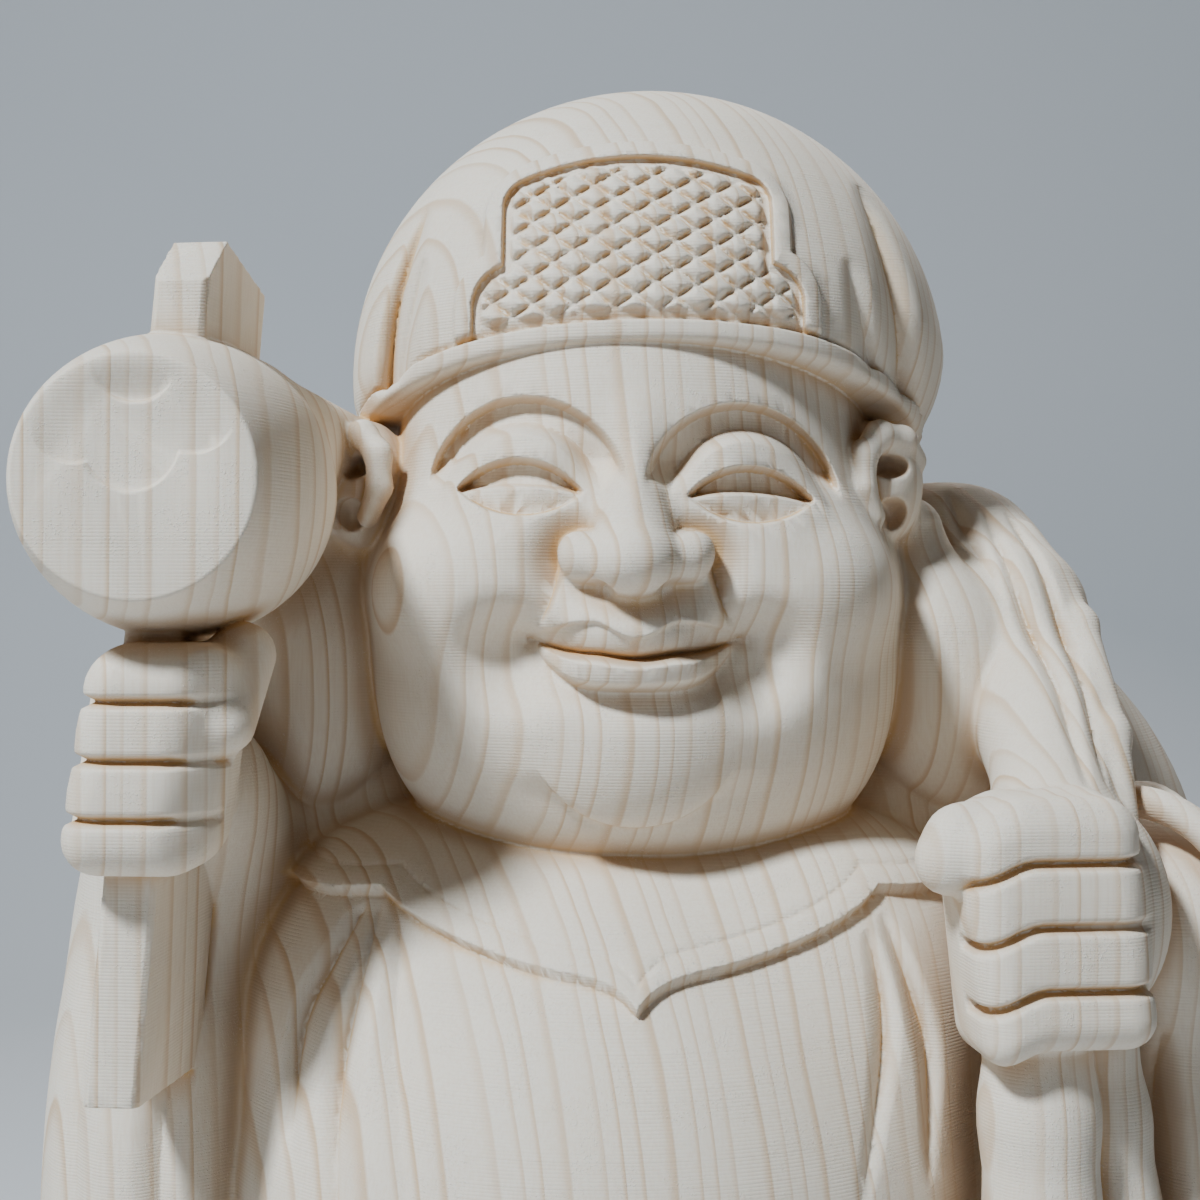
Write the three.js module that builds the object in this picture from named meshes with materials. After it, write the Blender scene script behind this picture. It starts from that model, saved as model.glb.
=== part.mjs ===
// A daikoku figure: the smiling god of plenty with a soft cap, a mallet in the right hand and a sack
// over the left shoulder, carved from one block of pale cypress with the two rice bales he stands on.
// Millimetres, +Z up, the figure faces -Y, and the origin is the middle of the flat underside.
// The carving is a distance field, negative inside the wood. It is polygonised once and then thinned.

import * as THREE from 'three';
import { edgeTable, triTable } from 'three/addons/objects/MarchingCubes.js';

const { abs, atan2, cos, exp, hypot, max, min, sin, sqrt, PI } = Math;
const { clamp, lerp, smoothstep, degToRad } = THREE.MathUtils;

// Driving dimensions.
const figureHeight = 350; // soles to the top of the cap
const plinthWidth = 170; // the low board left under the bales
const plinthDepth = 134;
const plinthHeight = 9;
const plinthCorner = 16;
const baleDiameter = 76; // a straw rice bale, across its round end
const baleLength = 124; // front to back
const baleSpacing = 74; // between the two bales' axes
const baleSink = 13; // how deep the bales are let into the plinth
const soleSink = 7; // how deep the soles are let into the bales
const ropeWidth = 5; // the straw ropes round each bale
const ropeHeight = 1.6;
const triangleBudget = 9700;

// The relief's edges are this soft, so that the facets can follow them.
const stepWidth = 1.3;

// The carving's own unit: all of the figure's shapes below are given on a figure 350 units tall.
const unit = figureHeight / 350;
const baleRadius = baleDiameter / 2;
const baleAxisHeight = plinthHeight - baleSink + baleRadius;
const standHeight = baleAxisHeight + baleRadius - soleSink;

// Shapes that the fields are made of.

function ellipsoid(x, y, z, { at, size }) {
  const px = (x - at[0]) / size[0];
  const py = (y - at[1]) / size[1];
  const pz = (z - at[2]) / size[2];
  const reach = sqrt(px * px + py * py + pz * pz);
  const slope = sqrt((px / size[0]) ** 2 + (py / size[1]) ** 2 + (pz / size[2]) ** 2);
  return slope < 1e-9 ? -min(...size) : reach * (reach - 1) / slope;
}

function smoothMin(a, b, blend) {
  const overlap = max(blend - abs(a - b), 0);
  return min(a, b) - overlap * overlap / (4 * blend);
}

function smoothMax(a, b, blend) {
  return -smoothMin(-a, -b, blend);
}

// A limb through several joints, each with its own radius.
function limb(x, y, z, joints, blend = 4) {
  let distance = Infinity;
  for (let i = 0; i + 1 < joints.length; i++) {
    const [ax, ay, az, ra] = joints[i];
    const [bx, by, bz, rb] = joints[i + 1];
    const [dx, dy, dz] = [bx - ax, by - ay, bz - az];
    const along = ((x - ax) * dx + (y - ay) * dy + (z - az) * dz) / (dx * dx + dy * dy + dz * dz);
    const t = clamp(along, 0, 1);
    const piece = hypot(x - ax - t * dx, y - ay - t * dy, z - az - t * dz) - lerp(ra, rb, t);
    distance = i ? smoothMin(distance, piece, blend) : piece;
  }
  return distance;
}

function roundedBox(x, y, z, half, rounding) {
  const [qx, qy, qz] = [abs(x) - half[0] + rounding, abs(y) - half[1] + rounding, abs(z) - half[2] + rounding];
  return hypot(max(qx, 0), max(qy, 0), max(qz, 0)) + min(max(qx, qy, qz), 0) - rounding;
}

function roundedRectangle(u, w, halfWidth, halfHeight, rounding) {
  const [qu, qw] = [abs(u) - halfWidth + rounding, abs(w) - halfHeight + rounding];
  return hypot(max(qu, 0), max(qw, 0)) + min(max(qu, qw), 0) - rounding;
}

// A round bar bent into a ring about an axis.
function ring(x, y, z, { at, axis, radius, tube }) {
  const [px, py, pz] = [x - at[0], y - at[1], z - at[2]];
  const along = px * axis[0] + py * axis[1] + pz * axis[2];
  const outward = sqrt(max(px * px + py * py + pz * pz - along * along, 0));
  return hypot(outward - radius, along) - tube;
}

// A gouged fold: a smooth stroke in the front view through a few points, with its width and depth.
function fold(points, width, depth) {
  const curve = new THREE.SplineCurve(points.map(([x, z]) => new THREE.Vector2(x, z)));
  const line = curve.getPoints(4 * (points.length - 1)).map(({ x, y }) => [x, y]);
  const margin = 2.5 * width;
  const [xs, zs] = [points.map(([x]) => x), points.map(([, z]) => z)];
  const box = [min(...xs) - margin, max(...xs) + margin, min(...zs) - margin, max(...zs) + margin];
  return { line, width, depth, box };
}

// How deep the folds cut at (x, z). Each one tapers to nothing at its ends.
function foldDepth(x, z, folds) {
  let total = 0;
  for (const { line, width, depth, box } of folds) {
    if (x < box[0] || x > box[1] || z < box[2] || z > box[3]) continue;
    let [nearest, along] = [Infinity, 0];
    for (let i = 0; i + 1 < line.length; i++) {
      const [[ax, az], [bx, bz]] = [line[i], line[i + 1]];
      const [dx, dz] = [bx - ax, bz - az];
      const t = clamp(((x - ax) * dx + (z - az) * dz) / (dx * dx + dz * dz), 0, 1);
      const distance = hypot(x - ax - t * dx, z - az - t * dz);
      if (distance < nearest) [nearest, along] = [distance, (i + t) / (line.length - 1)];
    }
    const taper = max(sin(PI * along), 0) ** 0.8;
    total += depth * taper * exp(-((nearest / (width * (0.4 + 0.6 * taper))) ** 2));
  }
  return total;
}

// The head: a broad round face with full cheeks under a smile.

const skull = { at: [0.4, -6, 267], size: [44.2, 42.5, 41], heightAbove: 76, templeHollow: 5 };
const jowl = { at: [0.4, -24, 249.6], size: [38, 24.5, 28.2], lean: 0.18 };
const cheek = { at: [22.5, -31, 269], size: [16, 16.8, 12.6] };
const muzzle = { at: [0, -40, 261.6], size: [15.8, 13.8, 8.6] };
const chin = { at: [0, -34.4, 246], size: [16, 15.5, 13.6] };
const chinCrease = { centre: [0, 250], radius: 15.2, step: 2 };
const noseBridge = [[0, -41, 292, 4.8], [-0.2, -49.4, 277, 5]];
const noseTip = { at: [-0.3, -52.2, 272.6], size: [6.3, 7, 5.1] };
const nostrilWing = { at: [7.2, -48, 272.9], size: [3.6, 5.6, 3.7] };
const nostril = { at: [5, -53, 268.2], size: [1.8, 2.8, 1.5] };
const mouthCorner = { at: [18.6, -50.6, 258.8], size: [8.6, 8.6, 7.4] };
const smileFolds = [
  fold([[5.6, 277], [8.8, 276.4], [10.5, 273.6], [11, 270.5], [12.3, 266.2], [14.6, 261.8]], 1.5, 2.6),
];

// The eye, in the front view: a brow cut as a crescent that slopes in to the lid, a domed lid over it, and an
// opening in which the eyeball stands out on a ledge and slopes back to the lower lid.
const eye = {
  lidCentre: [16.4, 280.6], lidRadius: 11.6, lidHeight: 1.8, lidRim: 2.4,
  browCentre: [15.8, 280.8], browRadius: 15.2, browDepth: 3.4,
  upperArc: { centre: [16.6, 274.8], radius: 11.9 }, lowerArc: { centre: [16.4, 291.6], radius: 13.5 },
  slitDepth: 3, ballTop: 283.1, ballHeight: 2.6, ballSlope: 0.36, ballBow: 0.012,
  hollow: { at: [6.6, 285], width: 4.6, depth: 2.2 }, headTilt: 0.035,
};

function eyeRelief(u, z) {
  const [lidU, lidZ] = eye.lidCentre;
  const r = hypot(u - lidU, z - lidZ);
  const fromBrow = eye.browRadius - hypot(u - eye.browCentre[0], z - eye.browCentre[1]);
  const upper = smoothstep(z, lidZ + 1.5, lidZ + 7);
  const slope = clamp(fromBrow / (eye.browRadius - eye.lidRadius), 0, 1);
  const crescent = slope * smoothstep(r, eye.lidRadius - eye.lidRim, eye.lidRadius);
  const dome = max(1 - (r / eye.lidRadius) ** 2, 0);
  const lid = lerp(dome * dome, sqrt(dome), smoothstep(z, lidZ - 4, lidZ + 4));
  const [upperArc, lowerArc] = [eye.upperArc, eye.lowerArc].map(
    ({ centre, radius }) => radius - hypot(u - centre[0], z - centre[1]));
  const open = smoothstep(min(upperArc, lowerArc), 0, 0.8 * stepWidth);
  const belowLedge = eye.ballTop - eye.ballBow * (u - lidU) ** 2 - z;
  const ball = smoothstep(belowLedge, 0, 0.6 * stepWidth) * (eye.ballHeight - eye.ballSlope * max(belowLedge, 0));
  const fromHollow = hypot(u - eye.hollow.at[0], z - eye.hollow.at[1]) / eye.hollow.width;
  return eye.lidHeight * lid - eye.browDepth * crescent * upper
    - eye.hollow.depth * exp(-fromHollow * fromHollow)
    - open * (eye.slitDepth - ball);
}

// The mouth, in the front view: the upper lip is a slope cut back under a bowed edge, the lower lip a roll.
const mouth = {
  halfWidth: 15.6, bowDip: 261.9, bowRise: 2.4, peakAt: 6.6, cornerDrop: 2.2,
  parting: 258.9, partingRise: 0.7, smile: 2.2, lowerEdge: 254.2, lowerRise: 2.6,
  depth: 3.2, underCut: 1.8, lowerBulge: 1.5,
};

function mouthRelief(u, z) {
  const rise = (1 - cos(PI * min(u / mouth.peakAt, 1))) / 2;
  const toCorner = clamp((u - mouth.peakAt) / (mouth.halfWidth - mouth.peakAt), 0, 1);
  const top = mouth.bowDip + mouth.bowRise * rise - mouth.cornerDrop * toCorner ** 1.5;
  const parting = mouth.parting + mouth.partingRise * rise + mouth.smile * toCorner ** 2;
  const bottom = mouth.lowerEdge + mouth.lowerRise * (u / 12) ** 2;
  const t = (parting - z) / (parting - bottom);
  const side = max(1 - (u / mouth.halfWidth) ** 2, 0) ** (0.5 + clamp(t, 0, 1));
  if (z > parting) return side * mouth.depth * clamp((top - z) / (top - parting), 0, 1);
  if (t > 1) return side * mouth.underCut * exp(-(((bottom - z) / 3.4) ** 2));
  const roll = sqrt(max(1 - (2 * t - 1) ** 2, 0)) * sqrt(max(1 - (u / 13.8) ** 2, 0));
  return side * (lerp(mouth.depth, mouth.underCut, t) * (1 - roll) - mouth.lowerBulge * roll);
}

function faceField(x, y, z) {
  const u = abs(x);
  const tall = z > skull.at[2] ? skull.heightAbove : skull.size[2];
  let face = ellipsoid(x, y, z, { at: skull.at, size: [skull.size[0], skull.size[1], tall] });
  face += skull.templeHollow * smoothstep(z, 266, 292) * (x / skull.size[0]) ** 2;
  if (y > 0) return face;
  face = smoothMin(face, ellipsoid(x, y - jowl.lean * (jowl.at[2] - z), z, jowl), 8);
  face = smoothMin(face, ellipsoid(u, y, z, cheek), 6);
  face = smoothMin(face, ellipsoid(x, y, z, muzzle), 3);
  face = smoothMin(face, ellipsoid(x, y, z, chin), 6);
  if (y > -20) return face;
  face += foldDepth(u, z, smileFolds);
  face = smoothMax(face, -ellipsoid(u, y, z, mouthCorner), 7);
  face += mouthRelief(u, z);
  face = smoothMin(face, limb(x, y, z, noseBridge), 4);
  face = smoothMin(face, ellipsoid(u, y, z, nostrilWing), 1.6);
  face = smoothMin(face, ellipsoid(x, y, z, noseTip), 3);
  face = smoothMax(face, -ellipsoid(u, y, z, nostril), 1);
  const [creaseX, creaseZ] = chinCrease.centre;
  const belowChin = hypot(x - creaseX, z - creaseZ) - chinCrease.radius;
  const underside = smoothstep(creaseZ - z, 6.5, 12) * exp(-max(belowChin, 0) / 4);
  face += chinCrease.step * underside * smoothstep(belowChin, 0, stepWidth);
  return face - eyeRelief(u, z + eye.headTilt * x) * smoothstep(-y, 22, 32);
}

// The ears: a folded rim above, and a heavy lobe that hangs to the shoulder.

const earPlate = { at: [41.6, -16.5, 285], size: [7.4, 9.8, 10] };
const earRim = [
  [47, -19.6, 288.6, 2.2], [44.8, -22.2, 291.4, 2.3], [41, -25.4, 292, 2.2], [38.4, -27.6, 289, 2],
  [38.2, -28, 284, 1.9], [40, -27, 279.6, 1.7],
];
const earBowl = { at: [42.8, -26, 287.4], size: [3, 5.6, 1.9] };
const earKnob = { at: [42.6, -21.6, 284], size: [3, 3.6, 1.9] };
const earHollow = { at: [43.2, -24.6, 280], size: [2.4, 4.6, 2.6] };
const lobeNeck = [[44.4, -10, 278, 5.4], [47, -11, 262, 8.4]];
const lobe = { at: [49.4, -14, 252], size: [13, 10.4, 18.4] };

// The left ear lies closer to the head than the right one does.
const leftEarTuck = 3.6;

function earField(x, y, z) {
  const u = x > 0 ? x + leftEarTuck : -x;
  let ear = smoothMin(ellipsoid(u, y, z, earPlate), limb(abs(x), y, z, lobeNeck), 3);
  ear = smoothMax(ear, -ellipsoid(u, y, z, earBowl), 1);
  ear = smoothMax(ear, -ellipsoid(u, y, z, earHollow), 1);
  ear = smoothMin(ear, ellipsoid(u, y, z, earKnob), 1);
  ear = smoothMin(ear, limb(u, y, z, earRim, 1), 0.8);
  return smoothMin(ear, ellipsoid(abs(x), y, z, lobe), 8);
}

// The soft cap: its band slopes down to the nape, and a raised panel sits over the forehead.

const cap = { at: [3, 3, 303], size: [49.5, 47.5, 48] };
const capBag = { at: [4, 22, 304], size: [45, 38, 40] };
const capGather = { depth: 0.8, height: 9 };
const capTuck = { depth: 3, height: 16 };
const band = { front: 304.3, frontY: -45, slope: 0.3, height: 3, step: 0.7, groove: 0.6 };
const panel = {
  middle: 0.4, step: 1.1, frameWidth: 2.8, arch: 0.0105,
  lower: { centre: 300, halfWidth: 27.2, halfHeight: 18.9, rounding: 9 },
  upper: { centre: 312, halfWidth: 22.7, halfHeight: 23.3, rounding: 6 },
};
const capFolds = [
  fold([[-38.6, 286], [-37.8, 300], [-36, 313], [-31.6, 328]], 1.6, 2.8),
  fold([[-37, 286], [-35.4, 303], [-31.6, 319]], 1.5, 2.6),
  fold([[41, 282], [41.6, 300], [39.6, 315], [35, 332]], 2.4, 3),
  fold([[37.6, 284], [36.2, 300], [31.6, 318]], 2, 2.2),
];

const napeFolds = [
  fold([[-26, 296], [-30, 308], [-27, 322]], 3, 2),
  fold([[-10, 293], [-12, 306], [-9, 321]], 3, 2.2),
  fold([[6, 292], [7, 305], [4, 322]], 3, 2.2),
  fold([[22, 293], [25, 306], [20, 322]], 3, 2.2),
  fold([[36, 297], [41, 310], [34, 323]], 3, 2),
];

function panelEdge(x, z) {
  const u = x - panel.middle;
  const { lower, upper, arch } = panel;
  return min(
    roundedRectangle(u, z - lower.centre, lower.halfWidth, lower.halfHeight, lower.rounding),
    roundedRectangle(u, z + arch * u * u - upper.centre, upper.halfWidth, upper.halfHeight, upper.rounding),
  );
}

function capField(x, y, z) {
  let shape = smoothMin(ellipsoid(x, y, z, cap), ellipsoid(x, y, z, capBag), 8);
  const aboveBrim = z - band.front + band.slope * (y - band.frontY);
  const front = smoothstep(-y, -4, 8);
  shape += foldDepth(x, z, capFolds) * front * smoothstep(aboveBrim, 0.5, 5);
  shape += y > 0 ? foldDepth(x, z, napeFolds) * smoothstep(y, 14, 26) : 0;
  shape += capGather.depth * smoothstep(abs(x - 2), 24, 42) * (1 - smoothstep(aboveBrim, 0, capGather.height));
  shape += capTuck.depth * smoothstep(x, 20, 44) * (1 - smoothstep(aboveBrim, 0, capTuck.height));
  shape += band.step * smoothstep(aboveBrim, band.height - stepWidth / 2, band.height + stepWidth / 2);
  shape += band.groove * exp(-(((aboveBrim - band.height - 0.5) / 0.7) ** 2));
  const edge = panelEdge(x, z);
  const frame = smoothstep(-edge, 0, stepWidth)
    - smoothstep(-edge, panel.frameWidth, panel.frameWidth + stepWidth);
  if (y < 0) shape -= panel.step * frame * smoothstep(aboveBrim, band.height, band.height + 1);
  return smoothMax(shape, -aboveBrim, 2);
}

// The trunk: a great belly under broad shoulders, and a cape collar with scalloped edges.

const belly = { at: [-3.5, -9, 176], size: [62, 62, 57] };
const chest = { at: [30, -20, 205], size: [27, 27, 27] };
const shoulders = { at: [0, -1, 212], size: [60, 37, 26] };
const back = { at: [2, 22, 190], size: [58, 38, 60] };
const collar = {
  axisY: -6, thickness: 2, tipHeight: 210.4, lobeAngle: degToRad(47), nextLobeAngle: degToRad(88),
};
const chestFolds = [
  fold([[-37, 226], [-43, 215], [-47, 206], [-48.5, 190]], 1.8, 2.4),
  fold([[-35.6, 226], [-38.5, 214], [-40.5, 203], [-41, 190], [-39, 172]], 1.8, 2.3),
  fold([[-33.4, 224], [-33, 205], [-30, 184]], 2.2, 1.5),
  fold([[33, 220], [34.6, 212], [34.2, 202], [29.5, 184]], 1.5, 1.8),
  fold([[35.5, 222], [39, 212], [41.4, 202], [40.6, 186]], 1.5, 1.8),
];

// The height of the collar's lower edge at an angle from straight ahead.
function collarEdge(angle) {
  const t = abs(angle) / collar.lobeAngle;
  if (t < 1) return collar.tipHeight + 4 * (1 - exp(-14 * t)) + 10 * t ** 2.2;
  const s = (abs(angle) - collar.lobeAngle) / (collar.nextLobeAngle - collar.lobeAngle);
  return collar.tipHeight + 14 + 7 * min(s, 1) - 2.5 * max(s - 1, 0) - 3.4 * abs(sin(PI * s));
}

function trunkField(x, y, z) {
  let trunk = smoothMin(ellipsoid(x, y, z, belly), ellipsoid(x, y, z, shoulders), 10);
  trunk = smoothMin(trunk, ellipsoid(abs(x + 2), y, z, chest), 10);
  trunk = smoothMin(trunk, ellipsoid(x, y, z, back), 14);
  const aboveEdge = z - collarEdge(atan2(x, collar.axisY - y));
  trunk += y < 0 ? foldDepth(x, z, chestFolds) * smoothstep(-aboveEdge, 0, 3) : 0;
  return trunk - collar.thickness * smoothstep(aboveEdge, 0, stepWidth);
}

// The right arm and its sleeve, then the fist round the mallet's handle.

const rightArm = [[-42, 0, 230, 19], [-66, -4, 218, 17], [-66, -34, 238, 13]];
const rightSleeve = { at: [-71, -14, 170], size: [20.5, 31, 70] };
const rightSleeveFolds = [
  fold([[-62, 226], [-66, 206], [-68, 186], [-66, 150]], 2.2, 2.4),
  fold([[-79, 214], [-81, 190], [-79, 150]], 2.4, 1.6),
];
const sleeveHem = 128;

function rightSleeveField(x, y, z) {
  let sleeve = smoothMin(limb(x, y, z, rightArm, 8), ellipsoid(x, y, z, rightSleeve), 12);
  if (y < 0) sleeve += foldDepth(x, z, rightSleeveFolds);
  return smoothMax(sleeve, sleeveHem + 0.16 * y - z, 3);
}

const fist = { half: [10.4, 9, 15.4], rounding: 6, fingers: 4, grooveWidth: 0.8, grooveDepth: 1.8 };
const rightFist = {
  at: [-64, -60.5, 246], lean: 0.15, yaw: degToRad(-4), bevel: 6,
  wrist: [[-65, -52, 244, 9], [-67, -34, 238, 11]],
};
const rightThumb = [[-53.6, -56, 259.5, 4.6], [-54.4, -62.5, 250.5, 3.8]];

// A fist's block, with the grooves between its fingers cut across the front.
function fistBlock(across, along, up, { half, rounding, fingers, grooveWidth, grooveDepth, bevel = 0 }) {
  const pitch = 2 * half[2] / fingers;
  let block = roundedBox(across, along, up, half, rounding);
  block = smoothMax(block, (across - half[0] - along - half[1] + bevel) * 0.7071, 2);
  if (along > 0) return block;
  const nearest = clamp(Math.round(up / pitch), 1 - fingers / 2, fingers / 2 - 1) * pitch;
  const reach = 1 - 0.55 * smoothstep(across, half[0] - bevel - 1, half[0] - bevel + 2);
  return block + grooveDepth * reach * exp(-(((up - nearest) / grooveWidth) ** 2));
}

function rightFistField(x, y, z) {
  const up = z - rightFist.at[2];
  const [px, py] = [x - rightFist.at[0] - rightFist.lean * up, y - rightFist.at[1]];
  const [c, s] = [cos(rightFist.yaw), sin(rightFist.yaw)];
  let hand = fistBlock(px * c + py * s, py * c - px * s, up, { ...fist, bevel: rightFist.bevel });
  hand = smoothMin(hand, limb(x, y, z, rightThumb), 1.5);
  return smoothMin(hand, limb(x, y, z, rightFist.wrist), 4);
}

// The mallet: a barrel-shaped drum on a flat handle that leans in towards the cap. Some wood is left
// behind the drum, so that it holds on to the head.

const drum = {
  at: [-63.4, -49, 282.6], yaw: degToRad(1), halfLength: 26, midRadius: 21, endRadius: 15.8,
};
const drumWeb = [[-58, -36, 289.5, 12.6], [-45, -13, 291, 5.4]];
const handle = {
  foot: [-68.6, -49, 199.5], head: [-58.9, -47.5, 316], yaw: degToRad(7), half: [3.8, 13], chamfer: 0.8,
  bevel: 6.5, bevelSlope: 0.97, backSlope: 0.24,
};

// The scallops on the drum's struck face: a row of three lobes, and a deeper half disc over them.
const drumLobes = [[-7.6, 6.9, 5.5], [-0.4, 4.4, 6.5], [7.5, 8.6, 6]];
const drumDisc = [0.1, 15.2, 6];
const reliefDepth = 1.1;

function drumRelief(u, w) {
  const fromCircle = ([centreU, centreW, radius]) => hypot(u - centreU, w - centreW) - radius;
  const field = min(...drumLobes.map(fromCircle), max(abs(u) - 14, 8 - w));
  return reliefDepth * (smoothstep(-field, 0, stepWidth) + smoothstep(-fromCircle(drumDisc), 0, stepWidth));
}

function drumField(x, y, z) {
  const [px, py, pz] = [x - drum.at[0], y - drum.at[1], z - drum.at[2]];
  const [c, s] = [cos(drum.yaw), sin(drum.yaw)];
  const across = px * c - py * s;
  const along = px * s + py * c;
  const bulge = 1 - (along / drum.halfLength) ** 2;
  const radius = lerp(drum.endRadius, drum.midRadius, clamp(bulge, 0, 1));
  const side = (hypot(across, pz) - radius) * 0.93;
  const face = along < 0 ? drumRelief(across, pz) : 0;
  return smoothMin(smoothMax(side, abs(along) - drum.halfLength + face, 0.5), limb(x, y, z, drumWeb), 3);
}

function handleField(x, y, z) {
  const { foot, head, half, chamfer, bevel } = handle;
  const t = (z - foot[2]) / (head[2] - foot[2]);
  const [px, py] = [x - lerp(foot[0], head[0], t), y - lerp(foot[1], head[1], t)];
  const [c, s] = [cos(handle.yaw), sin(handle.yaw)];
  const across = px * c - py * s;
  const along = px * s + py * c;
  const bar = max(abs(across) - half[0], abs(along) - half[1], foot[2] - z);
  const corners = (abs(across) + abs(along) - half[0] - half[1] + chamfer) * 0.7071;
  const fromFront = along + half[1] - bevel;
  const drop = max(-fromFront * handle.bevelSlope, fromFront * handle.backSlope);
  return max(bar, corners, (z - head[2] + drop) * 0.75);
}

// The left arm, the fist at the sack's neck, the neck of cloth over the shoulder, and the sack behind.

const leftArm = [[42, 0, 230, 19], [78, 0, 206, 19], [80, -30, 218, 14]];
const leftSleeve = { at: [82, -12, 178], size: [17, 33, 60] };
const leftSleeveFolds = [
  fold([[88, 222], [91, 200], [88, 160]], 2.4, 2),
  fold([[76, 206], [75, 186], [77, 150]], 2.2, 2),
];
const leftFist = {
  at: [55.8, -54, 223.6], yaw: degToRad(6), lean: -0.1, dip: 3,
  block: { half: [12.4, 10, 17], rounding: 5, fingers: 4, grooveWidth: 0.85, grooveDepth: 1.9 },
  heel: { at: [61.5, -46, 223.5], size: [13.5, 15, 17] },
};
const leftThumb = [[60, -52, 236, 5.4], [44.4, -56.5, 233.8, 4.8], [42, -57, 231.4, 4.2]];
const leftCuff = { at: [73, -35, 221], axis: [-0.56, -0.83, 0], radius: 16.5, tube: 2.4 };
const sackNeck = [[60, -42, 236, 9], [63, -24, 248, 8], [61, -6, 264, 10.5], [55, 10, 270, 14.5], [46, 22, 271, 16]];
const neckRidge = [[64.6, -2, 277.5, 2.2], [70, -17, 263, 2.6], [70.4, -33, 247, 2.8], [69, -42, 236, 3]];
const sackTail = [[55.5, -50, 214, 7.5], [55.5, -52, 196, 7.5], [56, -54, 170, 9]];
const sackTailSide = [[64, -46, 214, 6], [66, -45, 194, 6], [69, -46, 170, 7.5]];
const tailEnd = 162;
const sack = { at: [47, 42, 210], size: [60, 45, 61] };
const sackTop = { at: [26, 32, 246], size: [36, 26, 32] };
const neckFolds = [
  fold([[57.6, 282], [60, 268], [63, 253], [63, 239]], 1.2, 1.9),
  fold([[61.5, 282], [64.8, 270], [67, 255], [66.6, 240]], 1, 1.6),
  fold([[53, 285], [54, 278], [58, 266]], 1.4, 1.3),
];
const sackFolds = [
  fold([[52, 262], [40, 240], [24, 214], [14, 180]], 4, 2),
  fold([[60, 262], [62, 236], [60, 206], [52, 172]], 4, 2),
  fold([[68, 258], [82, 236], [90, 208], [88, 178]], 4, 2),
];

function leftArmField(x, y, z) {
  let sleeve = smoothMin(limb(x, y, z, leftArm, 8), ellipsoid(x, y, z, leftSleeve), 12);
  if (y < 0) sleeve += foldDepth(x, z, leftSleeveFolds);
  sleeve = smoothMax(sleeve, sleeveHem + 0.16 * y - z, 3);
  const up = z - leftFist.at[2];
  const [px, py] = [x - leftFist.at[0] - leftFist.lean * up, y - leftFist.at[1]];
  const [c, s] = [cos(leftFist.yaw), sin(leftFist.yaw)];
  const across = px * c + py * s;
  const dip = leftFist.dip * smoothstep(-across, 3, leftFist.block.half[0]);
  let hand = fistBlock(across, py * c - px * s, up + dip, leftFist.block);
  hand = smoothMin(hand, ellipsoid(x, y, z, leftFist.heel), 2);
  hand = smoothMin(hand, limb(x, y, z, leftThumb), 1.5);
  return smoothMin(min(sleeve, ring(x, y, z, leftCuff)), hand, 0.8);
}

function sackField(x, y, z) {
  let cloth = smoothMin(limb(x, y, z, sackNeck, 10), limb(x, y, z, neckRidge, 2), 1.2);
  if (y < 12) cloth += foldDepth(x, z, neckFolds) * smoothstep(12 - y, 0, 8);
  let tail = smoothMin(limb(x, y, z, sackTail, 4), limb(x, y, z, sackTailSide, 4), 0.8);
  tail = smoothMax(tail, tailEnd - z, 1);
  let bag = smoothMin(ellipsoid(x, y, z, sack), ellipsoid(x, y, z, sackTop), 14);
  if (y > 0) bag += foldDepth(x, z, sackFolds) * smoothstep(y, 20, 40);
  return min(smoothMin(bag, cloth, 8), tail);
}

// Below the belly: a knotted sash, the coat's skirt, full trousers and round-toed boots.

const sash = { at: [-2, -3, 134], size: [61, 54], height: 7, bulge: 3.5 };
const knot = { at: [-2, -59, 134], size: [8, 5, 6.5] };
const sashEnds = [[[-5, -58, 131, 4], [-11, -64, 96, 4.8]], [[1, -58, 131, 4], [6, -63, 102, 4.8]]];
const skirt = { topHeight: 140, hemHeight: 56, top: [57, 50], hem: [76, 66], fluteDepth: 2, flutes: 17 };
const trouser = { at: [31, -4, 40], size: [34, 42, 36] };
const robeTail = { at: [0, 26, 46], size: [58, 32, 60] };
const boot = { at: [32, -32, 9], size: [16.5, 29, 13.5], toeOut: degToRad(12) };

function skirtField(x, y, z) {
  const t = clamp((skirt.topHeight - z) / (skirt.topHeight - skirt.hemHeight), -0.3, 1.2);
  const angle = atan2(x, -y);
  const flute = skirt.fluteDepth * clamp(t, 0, 1) * cos(skirt.flutes * angle);
  const [a, b] = [lerp(skirt.top[0], skirt.hem[0], t), lerp(skirt.top[1], skirt.hem[1], t)];
  const [px, py] = [x / a, y / b];
  const ring = hypot(px, py);
  const side = (ring - 1) * min(a, b) * 0.94 - flute;
  const hem = skirt.hemHeight + 3 * cos(skirt.flutes * angle + 0.6) * 0.5 - z;
  return smoothMax(smoothMax(side, z - skirt.topHeight - 12, 3), hem, 1.5);
}

function sashField(x, y, z) {
  const ring = hypot((x - sash.at[0]) / sash.size[0], (y - sash.at[1]) / sash.size[1]);
  const outward = (ring - 1) * min(...sash.size);
  let band = hypot(max(outward, 0) / sash.bulge, (z - sash.at[2]) / sash.height) - 1;
  band *= sash.bulge;
  band = smoothMin(band, ellipsoid(x, y, z, knot), 1.5);
  for (const end of sashEnds) band = smoothMin(band, limb(x, y, z, end), 1.5);
  return band;
}

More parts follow.
